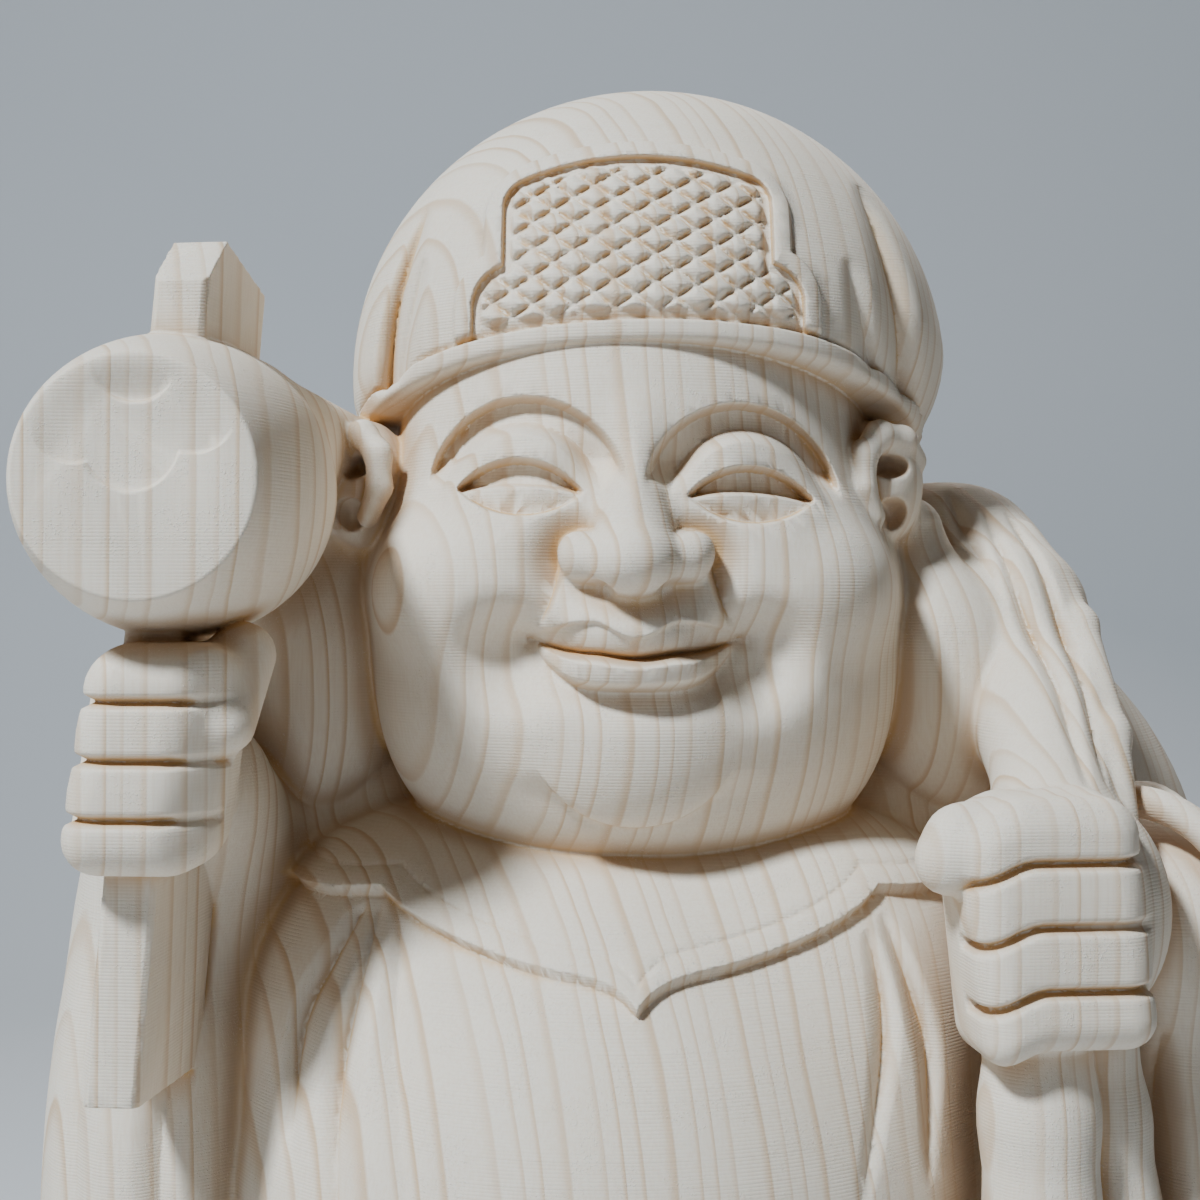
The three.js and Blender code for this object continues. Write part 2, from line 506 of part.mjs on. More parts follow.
function legField(x, y, z) {
  const u = abs(x);
  const [c, s] = [cos(boot.toeOut), sin(boot.toeOut)];
  const [px, py] = [u - boot.at[0], y - boot.at[1]];
  const shoe = ellipsoid(px * c + py * s, py * c - px * s, z, { at: [0, 0, boot.at[2]], size: boot.size });
  let legs = smoothMin(ellipsoid(u, y, z, trouser), smoothMax(shoe, -z, 1), 2.5);
  legs = smoothMin(legs, ellipsoid(x, y, z, robeTail), 6);
  return smoothMax(legs, -z - 6, 1);
}

// Every part of the figure, with a ball that it lies in and how softly it blends with those before it.
const parts = [
  { field: trunkField, centre: [0, 0, (belly.at[2] + shoulders.at[2]) / 2], radius: belly.size[0] + 20, blend: 1 },
  { field: skirtField, centre: [0, 0, (skirt.topHeight + skirt.hemHeight) / 2], radius: skirt.hem[0] + 18, blend: 3 },
  { field: sashField, centre: [-2, -4, 122], radius: 70, blend: 1 },
  { field: legField, centre: [0, 0, 42], radius: 92, blend: 1.5 },
  { field: sackField, centre: [50, 10, 215], radius: 92, blend: 1.5 },
  { field: rightSleeveField, centre: [-66, -10, 182], radius: 80, blend: 2 },
  { field: rightFistField, centre: [-64, -52, 248], radius: 32, blend: 0.6 },
  { field: leftArmField, centre: [72, -12, 186], radius: 80, blend: 1.5 },
  { field: handleField, centre: [-64, -48, 258], radius: 62, blend: 0.5 },
  { field: drumField, centre: [-56, -38, 283], radius: 48, blend: 0.5 },
  { field: faceField, centre: [0, -10, 278], radius: 64, blend: 0.8 },
  { field: earField, centre: [0, -12, 264], radius: 68, blend: 1.2 },
  { field: capField, centre: [3, 12, 302], radius: 62, blend: 0.5 },
];
const farEnough = 14;

function figureField(x, y, z) {
  let figure = Infinity;
  for (const { field, centre, radius, blend } of parts) {
    const outside = hypot(x - centre[0], y - centre[1], z - centre[2]) - radius;
    if (outside > figure + blend) continue;
    if (outside > farEnough) figure = min(figure, outside);
    else figure = figure === Infinity ? field(x, y, z) : smoothMin(figure, field(x, y, z), blend);
  }
  return figure;
}

// The plinth and the two bales on it, each tied with straw ropes and capped with a plaited rim.

const ropePlaces = [-0.27, 0, 0.27];
const rimWidth = 9;

function baleField(x, y, z) {
  const radial = hypot(abs(x) - baleSpacing / 2, z - baleAxisHeight);
  const end = abs(y) - baleLength / 2;
  const swell = 1.5 * cos(PI * y / baleLength);
  const fromRope = min(...ropePlaces.map((place) => abs(y - place * baleLength)));
  const raised = max(smoothstep(ropeWidth / 2 - fromRope, 0, 1.2), smoothstep(end, -rimWidth, -rimWidth + 1.2));
  const side = radial - baleRadius - swell + ropeHeight * (1 - raised);
  const dish = 2.5 * smoothstep(baleRadius - 8 - radial, 0, 3);
  return smoothMax(side, end + dish, 3);
}

function plinthField(x, y, z) {
  const side = roundedRectangle(x, y, plinthWidth / 2, plinthDepth / 2, plinthCorner);
  return smoothMax(side, z - plinthHeight, 1.5);
}

function statueField(x, y, z) {
  const figure = unit * figureField(x / unit, y / unit, (z - standHeight) / unit);
  if (z > standHeight + baleRadius) return figure;
  const stand = smoothMin(baleField(x, y, z), plinthField(x, y, z), 0.8);
  return max(smoothMin(figure, stand, 1.2), -z);
}

// Polygonising. The grid's lines lie closer together where the face, the cap and the hands are.

const coarseStep = 3 * unit;
const fineStep = 1.35 * unit;
const figureReach = { x: [-98, 116], y: [-84, 94], z: [-4, 356] };
const fineZone = { x: [-76, 76], y: [-78, -18], z: [198, 356] };

function gridLines(low, high, fineLow, fineHigh) {
  const lines = [low];
  while (lines.at(-1) < high) {
    const last = lines.at(-1);
    lines.push(last + (last > fineLow && last < fineHigh ? fineStep : coarseStep));
  }
  return lines;
}

function statueGrid() {
  const zone = (range, lift = 0) => range.map((value) => value * unit + lift);
  const [halfWidth, halfDepth] = [plinthWidth / 2 + 4, max(plinthDepth, baleLength) / 2 + 6];
  const [xs, ys, zs] = [zone(figureReach.x), zone(figureReach.y), zone(figureReach.z, standHeight)];
  return [
    gridLines(min(xs[0], -halfWidth), max(xs[1], halfWidth), ...zone(fineZone.x)),
    gridLines(min(ys[0], -halfDepth), max(ys[1], halfDepth), ...zone(fineZone.y)),
    gridLines(-coarseStep / 2, zs[1], ...zone(fineZone.z, standHeight)),
  ];
}

// The field at the grid's corners. Blocks that the surface can't reach keep only their sign.
function sampleField([xs, ys, zs]) {
  const [nx, ny, nz] = [xs.length, ys.length, zs.length];
  const values = new Float64Array(nx * ny * nz);
  const block = 6;
  const fill = (i, j, k) => {
    const [i2, j2, k2] = [min(i + block, nx - 1), min(j + block, ny - 1), min(k + block, nz - 1)];
    const middle = statueField((xs[i] + xs[i2]) / 2, (ys[j] + ys[j2]) / 2, (zs[k] + zs[k2]) / 2);
    const far = abs(middle) > 0.75 * hypot(xs[i2] - xs[i], ys[j2] - ys[j], zs[k2] - zs[k]) + 3;
    for (let c = k; c < min(k + block, nz); c++) {
      for (let b = j; b < min(j + block, ny); b++) {
        for (let a = i; a < min(i + block, nx); a++) {
          const value = far ? middle : statueField(xs[a], ys[b], zs[c]);
          values[(c * ny + b) * nx + a] = abs(value) < 1e-4 ? 1e-4 : value;
        }
      }
    }
  };
  for (let k = 0; k < nz; k += block) {
    for (let j = 0; j < ny; j += block) {
      for (let i = 0; i < nx; i += block) fill(i, j, k);
    }
  }
  return values;
}

const cubeCorners = [[0, 0, 0], [1, 0, 0], [1, 1, 0], [0, 1, 0], [0, 0, 1], [1, 0, 1], [1, 1, 1], [0, 1, 1]];
const cubeEdges = [[0, 1], [1, 2], [3, 2], [0, 3], [4, 5], [5, 6], [7, 6], [4, 7], [0, 4], [1, 5], [2, 6], [3, 7]];

// Marching cubes. The points that cross the lowest layer make the flat underside, at z = 0.
function marchCubes(grid) {
  const [xs, ys, zs] = grid;
  const [nx, ny, nz] = [xs.length, ys.length, zs.length];
  const values = sampleField(grid);
  const corner = (i, j, k, c) => {
    const [di, dj, dk] = cubeCorners[c];
    return [i + di, j + dj, k + dk];
  };
  const index = ([i, j, k]) => (k * ny + j) * nx + i;
  const pointOf = new Map();
  const [points, triangles] = [[], []];
  const crossing = (i, j, k, edge) => {
    const [from, to] = cubeEdges[edge].map((c) => corner(i, j, k, c));
    const direction = to[0] > from[0] ? 0 : to[1] > from[1] ? 1 : 2;
    const key = index(from) * 3 + direction;
    if (!pointOf.has(key)) {
      const [a, b] = [values[index(from)], values[index(to)]];
      const t = clamp(a / (a - b), 0.04, 0.96);
      const height = from[2] === 0 && to[2] === 1 ? 0 : lerp(zs[from[2]], zs[to[2]], t);
      pointOf.set(key, points.length / 3);
      points.push(lerp(xs[from[0]], xs[to[0]], t), lerp(ys[from[1]], ys[to[1]], t), height);
    }
    return pointOf.get(key);
  };
  for (let k = 0; k + 1 < nz; k++) {
    for (let j = 0; j + 1 < ny; j++) {
      for (let i = 0; i + 1 < nx; i++) {
        let inside = 0;
        for (let c = 0; c < 8; c++) if (values[index(corner(i, j, k, c))] < 0) inside |= 1 << c;
        if (edgeTable[inside] === 0) continue;
        for (let t = inside * 16; triTable[t] !== -1; t += 3) {
          for (const side of [2, 1, 0]) triangles.push(crossing(i, j, k, triTable[t + side]));
        }
      }
    }
  }
  return { points, triangles };
}

// Thinning by edge collapses. Each point carries a quadric, the summed squared distance to its planes,
// and the cheapest edge goes first. The face and the hands count for more than the back and the legs.

function importance(x, y, z) {
  const [fx, fy, fz] = [x / unit, y / unit, (z - standHeight) / unit];
  if (fz < 150) return 0.15;
  if (fy > 5) return 0.1;
  if (abs(fx) > 36) return 2.5;
  const onFace = fz > 228 && fz < 304 && fy < -28;
  const onPanel = fz > 300 && fz < 342 && abs(fx) < 32 && fy < -15;
  return onFace ? 10 : onPanel ? 8 : 1.5;
}

// A heap of candidate collapses, the cheapest on top.
class Heap {
  items = [];

  push(item) {
    const { items } = this;
    let at = items.length;
    while (at > 0 && items[(at - 1) >> 1].cost > item.cost) {
      items[at] = items[(at - 1) >> 1];
      at = (at - 1) >> 1;
    }
    items[at] = item;
  }

  pop() {
    const { items } = this;
    const top = items[0];
    const last = items.pop();
    if (!items.length) return top;
    let at = 0;
    for (let child = 1; child < items.length; child = 2 * at + 1) {
      if (child + 1 < items.length && items[child + 1].cost < items[child].cost) child++;
      if (items[child].cost >= last.cost) break;
      items[at] = items[child];
      at = child;
    }
    items[at] = last;
    return top;
  }
}

function triangleNormal(a, b, c) {
  const [ux, uy, uz] = [b[0] - a[0], b[1] - a[1], b[2] - a[2]];
  const [vx, vy, vz] = [c[0] - a[0], c[1] - a[1], c[2] - a[2]];
  return [uy * vz - uz * vy, uz * vx - ux * vz, ux * vy - uy * vx];
}

// A quadric is the upper triangle of a symmetric 4 x 4 matrix, row by row.
function planeQuadric([nx, ny, nz], [px, py, pz], weight) {
  const d = -(nx * px + ny * py + nz * pz);
  return [nx * nx, nx * ny, nx * nz, nx * d, ny * ny, ny * nz, ny * d, nz * nz, nz * d, d * d].map((v) => v * weight);
}

function pointQuadric([px, py, pz], weight) {
  const square = px * px + py * py + pz * pz;
  return [1, 0, 0, -px, 1, 0, -py, 1, -pz, square].map((v) => v * weight);
}

function quadricCost(q, [x, y, z]) {
  return q[0] * x * x + 2 * q[1] * x * y + 2 * q[2] * x * z + 2 * q[3] * x + q[4] * y * y
    + 2 * q[5] * y * z + 2 * q[6] * y + q[7] * z * z + 2 * q[8] * z + q[9];
}

// The point where a quadric is least, by Cramer's rule.
function quadricBest(q) {
  const [a, b, c, , e, f, , i] = q;
  const [x, y, z] = [-q[3], -q[6], -q[8]];
  const det = a * (e * i - f * f) - b * (b * i - f * c) + c * (b * f - e * c);
  return [
    (x * (e * i - f * f) - b * (y * i - f * z) + c * (y * f - e * z)) / det,
    (a * (y * i - f * z) - x * (b * i - f * c) + c * (b * z - y * c)) / det,
    (a * (e * z - y * f) - b * (b * z - y * c) + x * (b * f - e * c)) / det,
  ];
}

// Whether a face from a to b to c stays well shaped, and turned the same way, when a moves to best.
function staysSound(a, b, c, best) {
  const [oldX, oldY, oldZ] = triangleNormal(a, b, c);
  const [newX, newY, newZ] = triangleNormal(best, b, c);
  const size = hypot(newX, newY, newZ);
  const longest = max(
    hypot(best[0] - b[0], best[1] - b[1], best[2] - b[2]),
    hypot(best[0] - c[0], best[1] - c[1], best[2] - c[2]),
    hypot(b[0] - c[0], b[1] - c[1], b[2] - c[2]),
  );
  const agreement = oldX * newX + oldY * newY + oldZ * newZ;
  return size > 0.06 * longest * longest && agreement > 0.35 * hypot(oldX, oldY, oldZ) * size;
}

function thin({ points, triangles }, budget) {
  const count = points.length / 3;
  const place = Array.from({ length: count }, (_, i) => [points[3 * i], points[3 * i + 1], points[3 * i + 2]]);
  const quadric = Array.from({ length: count }, () => new Float64Array(10));
  const around = Array.from({ length: count }, () => []);
  const version = new Int32Array(count);
  const faces = [];
  for (let t = 0; t < triangles.length; t += 3) {
    const face = [triangles[t], triangles[t + 1], triangles[t + 2]];
    const normal = triangleNormal(place[face[0]], place[face[1]], place[face[2]]);
    const size = hypot(...normal) || 1e-12;
    const weight = size * importance(...place[face[0]]);
    const plane = planeQuadric(normal.map((v) => v / size), place[face[0]], weight);
    for (const v of face) {
      const spread = pointQuadric(place[v], weight * 0.002);
      for (let i = 0; i < 10; i++) quadric[v][i] += plane[i] + spread[i];
      around[v].push(faces.length);
    }
    faces.push(face);
  }

  const heap = new Heap();
  const offer = (a, b) => {
    const joined = new Float64Array(10);
    for (let i = 0; i < 10; i++) joined[i] = quadric[a][i] + quadric[b][i];
    const best = quadricBest(joined);
    if (place[a][2] === 0 || place[b][2] === 0) best[2] = 0;
    heap.push({ cost: quadricCost(joined, best), a, b, best, stamps: [version[a], version[b]] });
  };
  const neighbours = (v) => {
    const found = [];
    for (const f of around[v]) {
      for (const other of faces[f]) if (other !== v && !found.includes(other)) found.push(other);
    }
    return found;
  };
  const mayMove = (v, other, best) => around[v].every((f) => {
    const face = faces[f];
    if (face.includes(other)) return true;
    const at = face.indexOf(v);
    return staysSound(place[v], place[face[(at + 1) % 3]], place[face[(at + 2) % 3]], best);
  });
  for (const [a, b, c] of faces) {
    if (a < b) offer(a, b);
    if (b < c) offer(b, c);
    if (c < a) offer(c, a);
  }

  let left = faces.length;
  while (left > budget && heap.items.length) {
    const { a, b, best, stamps } = heap.pop();
    if (version[a] !== stamps[0] || version[b] !== stamps[1]) continue;
    const beside = neighbours(b);
    const shared = neighbours(a).filter((v) => beside.includes(v));
    if (shared.length !== 2 || !mayMove(a, b, best) || !mayMove(b, a, best)) continue;
    for (const f of around[b]) {
      const face = faces[f];
      if (face.includes(a)) {
        for (const v of face) if (v !== b) around[v].splice(around[v].indexOf(f), 1);
        faces[f] = null;
        left--;
      } else {
        face[face.indexOf(b)] = a;
        around[a].push(f);
      }
    }
    for (let i = 0; i < 10; i++) quadric[a][i] += quadric[b][i];
    place[a] = best;
    version[a]++;
    version[b] = -1;
    for (const v of neighbours(a)) offer(a, v);
  }

  const kept = new Map();
  const corners = [];
  for (const v of faces.filter(Boolean).flat()) {
    if (!kept.has(v)) kept.set(v, kept.size);
    corners.push(kept.get(v));
  }
  return { positions: [...kept.keys()].flatMap((v) => place[v]), corners };
}

// The finished carving.

const carved = thin(marchCubes(statueGrid()), triangleBudget);
const geometry = new THREE.BufferGeometry();
geometry.setAttribute('position', new THREE.Float32BufferAttribute(carved.positions, 3));
geometry.setIndex(carved.corners);
geometry.computeVertexNormals();

const cypress = new THREE.MeshStandardMaterial({ color: 0xe6d6ba, roughness: 0.72, metalness: 0 });
const figure = new THREE.Mesh(geometry, cypress);
figure.name = 'figure';

const statue = new THREE.Group();
statue.name = 'daikoku_figure';
statue.add(figure);

export default statue;
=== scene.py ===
import math
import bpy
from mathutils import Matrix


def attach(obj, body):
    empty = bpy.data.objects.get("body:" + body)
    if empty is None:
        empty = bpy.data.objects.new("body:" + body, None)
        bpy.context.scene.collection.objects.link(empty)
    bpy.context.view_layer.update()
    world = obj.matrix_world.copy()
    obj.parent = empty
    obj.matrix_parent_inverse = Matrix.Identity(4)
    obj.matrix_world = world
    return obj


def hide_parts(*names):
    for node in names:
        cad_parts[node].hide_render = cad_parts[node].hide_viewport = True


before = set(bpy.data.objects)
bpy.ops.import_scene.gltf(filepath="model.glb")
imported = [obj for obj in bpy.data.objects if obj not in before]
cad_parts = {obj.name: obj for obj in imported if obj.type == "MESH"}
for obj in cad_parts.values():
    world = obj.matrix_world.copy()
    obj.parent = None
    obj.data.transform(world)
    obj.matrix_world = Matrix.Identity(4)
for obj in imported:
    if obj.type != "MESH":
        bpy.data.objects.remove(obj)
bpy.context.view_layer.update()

from concurrent.futures import ThreadPoolExecutor

import bpy
import numpy as np
from mathutils import Vector

# The camera
# It stands close in front of the face, level, a little to the viewer's left of the middle.
# Its angle is wide for a portrait, so the mallet looks large and the ears fall back.

camera_place = (-0.005, -0.314, 0.332)
camera_angle = 2 * math.atan(600 / 1900)

camera = bpy.data.objects.new("camera", bpy.data.cameras.new("camera"))
camera.data.angle = camera_angle
camera.data.clip_start = 0.01
camera.location = camera_place
camera.rotation_euler = (math.radians(90), 0, 0)
bpy.context.scene.collection.objects.link(camera)
bpy.context.scene.camera = camera

# The stand
# Two straw rice bales lie side by side on a low plinth, all left in the same block as the figure.
# Each is tied with three twisted ropes and closed by a plaited rim, and the straw runs lengthwise.
# Every carved shape here is a distance in millimetres, less than nothing inside the wood.

plinth_size = (170, 134, 9)
plinth_corner = 16
bale_radius = 38
bale_length = 124
bale_spacing = 74
bale_sink = 13
sole_sink = 7
bale_axis_height = plinth_size[2] - bale_sink + bale_radius
stand_height = bale_axis_height + bale_radius - sole_sink
rope_places = (-0.27, 0, 0.27)
rope_width = 5
rope_height = 1.6
rim_width = 9
straw_count = 72
straw_depth = 0.35
twist_pitch = 5.2


def ease(value, low, high):
    t = np.clip((value - low) / (high - low), 0, 1)
    return t * t * (3 - 2 * t)


def mix(a, b, t):
    return a + (b - a) * t


def join(a, b, blend):
    overlap = np.maximum(blend - np.abs(a - b), 0)
    return np.minimum(a, b) - overlap * overlap / (4 * blend)


def cut(a, b, blend):
    return -join(-a, -b, blend)


def rounded_outline(u, w, half_width, half_height, rounding):
    across = np.abs(u) - half_width + rounding
    up = np.abs(w) - half_height + rounding
    corner = np.hypot(np.maximum(across, 0), np.maximum(up, 0))
    return corner + np.minimum(np.maximum(across, up), 0) - rounding


def bale_shape(x, y, z):
    side_x = np.abs(x) - bale_spacing / 2
    side_z = z - bale_axis_height
    radial = np.hypot(side_x, side_z)
    angle = np.arctan2(side_z, side_x)
    end = np.abs(y) - bale_length / 2
    swell = 1.5 * np.cos(math.pi * y / bale_length)
    from_rope = np.min([np.abs(y - place * bale_length) for place in rope_places], axis=0)
    rope = ease(rope_width / 2 - from_rope, 0, 0.7)
    round_rope = 0.9 * np.sqrt(np.clip(1 - (2 * from_rope / rope_width) ** 2, 0, 1))
    strand = np.cos(2 * math.pi * (angle * bale_radius + y) / twist_pitch)
    rim = ease(end, -rim_width, -rim_width + 0.7)
    plait = np.cos(2 * math.pi * (angle * bale_radius + 1.5 * np.abs(end + rim_width / 2)) / 6.2)
    straw = np.cos(straw_count * angle + 0.5 * np.sin(0.3 * y))
    relief = rope_height * (1 - np.maximum(rope, rim))
    relief = relief + straw_depth * (1 - straw) / 2 * (1 - np.maximum(rope, rim))
    relief = relief + rope * (0.45 - 0.3 * strand - round_rope) + rim * 0.35 * (1 - plait) / 2
    side = radial - bale_radius - swell + relief
    spokes = 0.3 * np.cos(36 * angle) * ease(radial, 6, 14)
    coil = 0.35 * np.cos(2 * math.pi * radial / 5.5)
    dish = (2.5 + spokes + coil) * ease(bale_radius - 8 - radial, 0, 2)
    return cut(side, end + dish, 2)


def plinth_shape(x, y, z):
    side = rounded_outline(x, y, plinth_size[0] / 2, plinth_size[1] / 2, plinth_corner)
    return cut(side, z - plinth_size[2], 1.5)


# The legs and the skirt
# Round-toed boots stand on the bales, under full trousers and the fluted skirt of the coat.
# From here up, heights are measured from the soles.

skirt_top_height = 140
skirt_hem_height = 56
skirt_top_half = (57, 50)
skirt_hem_half = (76, 66)
flute_depth = 2
flute_count = 17
hem_border = 5
foot_turn = math.radians(12)
foot_place = (32, -32)
sole_depth = 6
boot = [(0, 0, 9), (16.5, 29, 13.5)]
trouser_leg = [(31, -4, 40), (34, 42, 36)]
seat = [(0, 26, 46), (58, 32, 60)]


def turned(px, py, turn):
    across = px * math.cos(turn) - py * math.sin(turn)
    along = px * math.sin(turn) + py * math.cos(turn)
    return across, along


def ellipsoid(x, y, z, at, size):
    px = (x - at[0]) / size[0]
    py = (y - at[1]) / size[1]
    pz = (z - at[2]) / size[2]
    reach = np.sqrt(px * px + py * py + pz * pz)
    slope = np.sqrt((px / size[0]) ** 2 + (py / size[1]) ** 2 + (pz / size[2]) ** 2)
    return reach * (reach - 1) / np.maximum(slope, 1e-9)


def skirt_shape(x, y, z):
    t = np.clip((skirt_top_height - z) / (skirt_top_height - skirt_hem_height), -0.3, 1.2)
    angle = np.arctan2(x, -y)
    flute = flute_depth * np.clip(t, 0, 1) * np.cos(flute_count * angle)
    half_x = mix(skirt_top_half[0], skirt_hem_half[0], t)
    half_y = mix(skirt_top_half[1], skirt_hem_half[1], t)
    outward = np.hypot(x / half_x, y / half_y) - 1
    side = outward * np.minimum(half_x, half_y) * 0.94 - flute
    above_hem = z - skirt_hem_height - 1.5 * np.cos(flute_count * angle + 0.6)
    side = side + 0.5 * np.exp(-((above_hem - hem_border) / 0.7) ** 2)
    shape = cut(side, z - skirt_top_height - 12, 3)
    return cut(shape, -above_hem, 1.5)


def leg_shape(x, y, z):
    u = np.abs(x)
    across, along = turned(u - foot_place[0], y - foot_place[1], -foot_turn)
    welt = 0.5 * np.exp(-((z - 3.4) / 0.6) ** 2)
    foot = cut(ellipsoid(across, along, z, *boot) + welt, -z, 1)
    pleats = 0.9 * np.sin(7 * np.arctan2(u - 31, -y - 4)) ** 2
    legs = join(ellipsoid(u, y, z, *trouser_leg) + pleats * ease(30 - z, 0, 16), foot, 2.5)
    legs = join(legs, ellipsoid(x, y, z, *seat), 6)
    return cut(legs, -z - sole_depth, 1)


# The sash
# A flat girdle is wound low round the belly and knotted in front, with two hanging ends.
# Two cut lines along it show how it was folded.

sash_middle = (-2, -3, 134)
sash_half = (61, 54)
sash_half_height = 7
sash_bulge = 3.5
sash_lines = (-2.2, 2.4)
sash_knot = [(-2, -59, 134), (8, 5, 6.5)]
sash_ends = [
    [(-5, -58, 131, 4), (-11, -64, 96, 4.8)],
    [(1, -58, 131, 4), (6, -63, 102, 4.8)],
]


def limb(x, y, z, joints, blend=4):
    distance = None
    for (ax, ay, az, ra), (bx, by, bz, rb) in zip(joints, joints[1:]):
        dx, dy, dz = bx - ax, by - ay, bz - az
        along = ((x - ax) * dx + (y - ay) * dy + (z - az) * dz) / (dx * dx + dy * dy + dz * dz)
        t = np.clip(along, 0, 1)
        span = np.sqrt((x - ax - t * dx) ** 2 + (y - ay - t * dy) ** 2 + (z - az - t * dz) ** 2)
        piece = span - mix(ra, rb, t)
        distance = piece if distance is None else join(distance, piece, blend)
    return distance


def sash_shape(x, y, z):
    ring = np.hypot((x - sash_middle[0]) / sash_half[0], (y - sash_middle[1]) / sash_half[1])
    outward = np.maximum((ring - 1) * min(sash_half), 0)
    height = z - sash_middle[2]
    girdle = sash_bulge * (np.hypot(outward / sash_bulge, height / sash_half_height) - 1)
    for line in sash_lines:
        girdle = girdle + 0.7 * np.exp(-((height - line) / 0.6) ** 2)
    fold = 0.6 * np.exp(-((x + 2 - 0.3 * height) / 0.7) ** 2)
    girdle = join(girdle, ellipsoid(x, y, z, *sash_knot) + fold, 1.5)
    for end in sash_ends:
        girdle = join(girdle, limb(x, y, z, end), 1.5)
    return girdle


# The trunk and the collar
# A great belly under broad shoulders, in a robe gathered below a cape collar.
# The collar stands two millimetres proud and is cut in scallops, with a bevelled and scored edge.

soft_edge = 0.5
belly = [(-3.5, -9, 176), (62, 62, 57)]
shoulders = [(0, -1, 212), (60, 37, 26)]
breast = [(30, -20, 205), (27, 27, 27)]
back = [(2, 22, 190), (58, 38, 60)]
collar_tip = 210.4
collar_axis_y = -6
collar_thickness = 2
collar_lobe = math.radians(47)
collar_next_lobe = math.radians(88)
collar_bevel = 1.7
collar_line = 4.2


def stroke(points, width, depth, other_width=None):
    """A gouged fold: a smooth stroke in the front view, its width on each side and how deep it is cut."""
    line = []
    last = len(points) - 1
    for step in range(8 * last + 1):
        place = min(step // 8, last - 1)
        t = step / 8 - place
        before, a = points[max(place - 1, 0)], points[place]
        b, after = points[place + 1], points[min(place + 2, last)]
        spot = []
        for p0, p1, p2, p3 in zip(before, a, b, after):
            start, end = (p2 - p0) / 2, (p3 - p1) / 2
            bend = (2 * p1 - 2 * p2 + start + end) * t ** 3
            spot.append(bend + (-3 * p1 + 3 * p2 - 2 * start - end) * t * t + start * t + p1)
        line.append(spot)
    return line, (width, other_width or width), depth


def stroke_depth(x, z, strokes):
    total = np.zeros(x.shape)
    for line, widths, depth in strokes:
        xs, zs = zip(*line)
        margin = 2.5 * max(widths)
        near = (x > min(xs) - margin) & (x < max(xs) + margin)
        near &= (z > min(zs) - margin) & (z < max(zs) + margin)
        px, pz = x[near], z[near]
        if not px.size:
            continue
        nearest = np.full(px.shape, 1e9)
        along = np.zeros(px.shape)
        width = np.zeros(px.shape)
        for i in range(len(line) - 1):
            (ax, az), (bx, bz) = line[i], line[i + 1]
            dx, dz = bx - ax, bz - az
            t = np.clip(((px - ax) * dx + (pz - az) * dz) / (dx * dx + dz * dz), 0, 1)
            distance = np.hypot(px - ax - t * dx, pz - az - t * dz)
            closer = distance < nearest
            nearest = np.where(closer, distance, nearest)
            along = np.where(closer, (i + t) / (len(line) - 1), along)
            left = dx * (pz - az) > dz * (px - ax)
            width = np.where(closer, np.where(left, widths[0], widths[1]), width)
        taper = np.maximum(np.sin(math.pi * along), 0) ** 0.8
        across = nearest / (2 * width * (0.4 + 0.6 * taper))
        total[near] += depth * taper * np.clip(1 - across, 0, 1) ** 1.6
    return total


chest_folds = [
    stroke([(-37, 226), (-43, 215), (-47, 206), (-48.5, 190)], 1.8, 2.6),
    stroke([(-35.6, 226), (-38.5, 214), (-40.5, 203), (-41, 190), (-39, 172)], 1.8, 2.5),
    stroke([(-33.4, 224), (-33, 205), (-30, 184)], 2.2, 1.7),
    stroke([(33, 220), (34.6, 212), (34.2, 202), (29.5, 184)], 1.5, 2.2),
    stroke([(35.5, 222), (39, 212), (41.4, 202), (40.6, 186)], 1.5, 2.2),
]


def collar_edge(angle):
    t = np.abs(angle) / collar_lobe
    first = collar_tip + 4 * (1 - np.exp(-14 * t)) + 10 * np.minimum(t, 1) ** 2.2
    s = (np.abs(angle) - collar_lobe) / (collar_next_lobe - collar_lobe)
    second = collar_tip + 14 + 7 * np.minimum(s, 1) - 2.5 * np.maximum(s - 1, 0)
    second = second - 3.4 * np.abs(np.sin(math.pi * s))
    return np.where(t < 1, first, second)


def trunk_shape(x, y, z):
    trunk = join(ellipsoid(x, y, z, *belly), ellipsoid(x, y, z, *shoulders), 10)
    trunk = join(trunk, ellipsoid(np.abs(x + 2), y, z, *breast), 10)
    trunk = join(trunk, ellipsoid(x, y, z, *back), 14)
    above_edge = z - collar_edge(np.arctan2(x, collar_axis_y - y))
    front = ease(-y, 0, 2)
    trunk = trunk + front * stroke_depth(x, z, chest_folds) * ease(-above_edge, 0, 3)
    scored = 0.35 * np.clip(1 - np.abs(above_edge - collar_line) / 0.6, 0, 1)
    return trunk + scored * front - collar_thickness * np.clip(above_edge / collar_bevel, 0, 1)


# The right arm and fist
# A wide sleeve falls from the shoulder, and the fist closes round the mallet's handle.
# Four fingers are cut as rounded blocks with narrow grooves between them.

sleeve_hem = 128
hem_line = 5
right_sleeve_bag = [(-71, -14, 170), (20.5, 31, 70)]
right_arm = [(-42, 0, 230, 19), (-66, -4, 218, 17), (-66, -34, 238, 13)]
right_sleeve_folds = [
    stroke([(-62, 226), (-66, 206), (-68, 186), (-66, 150)], 2.2, 2.4),
    stroke([(-79, 214), (-81, 190), (-79, 150)], 2.4, 1.6),
]
right_fist_place = (-64, -60.5, 246)
right_fist_half = (10.4, 9, 15.4)
right_fist_lean = 0.15
right_fist_turn = math.radians(4)
right_thumb = [(-53.6, -56, 259.5, 4.6), (-54.4, -62.5, 250.5, 3.8)]
right_wrist = [(-65, -52, 244, 9), (-67, -34, 238, 11)]


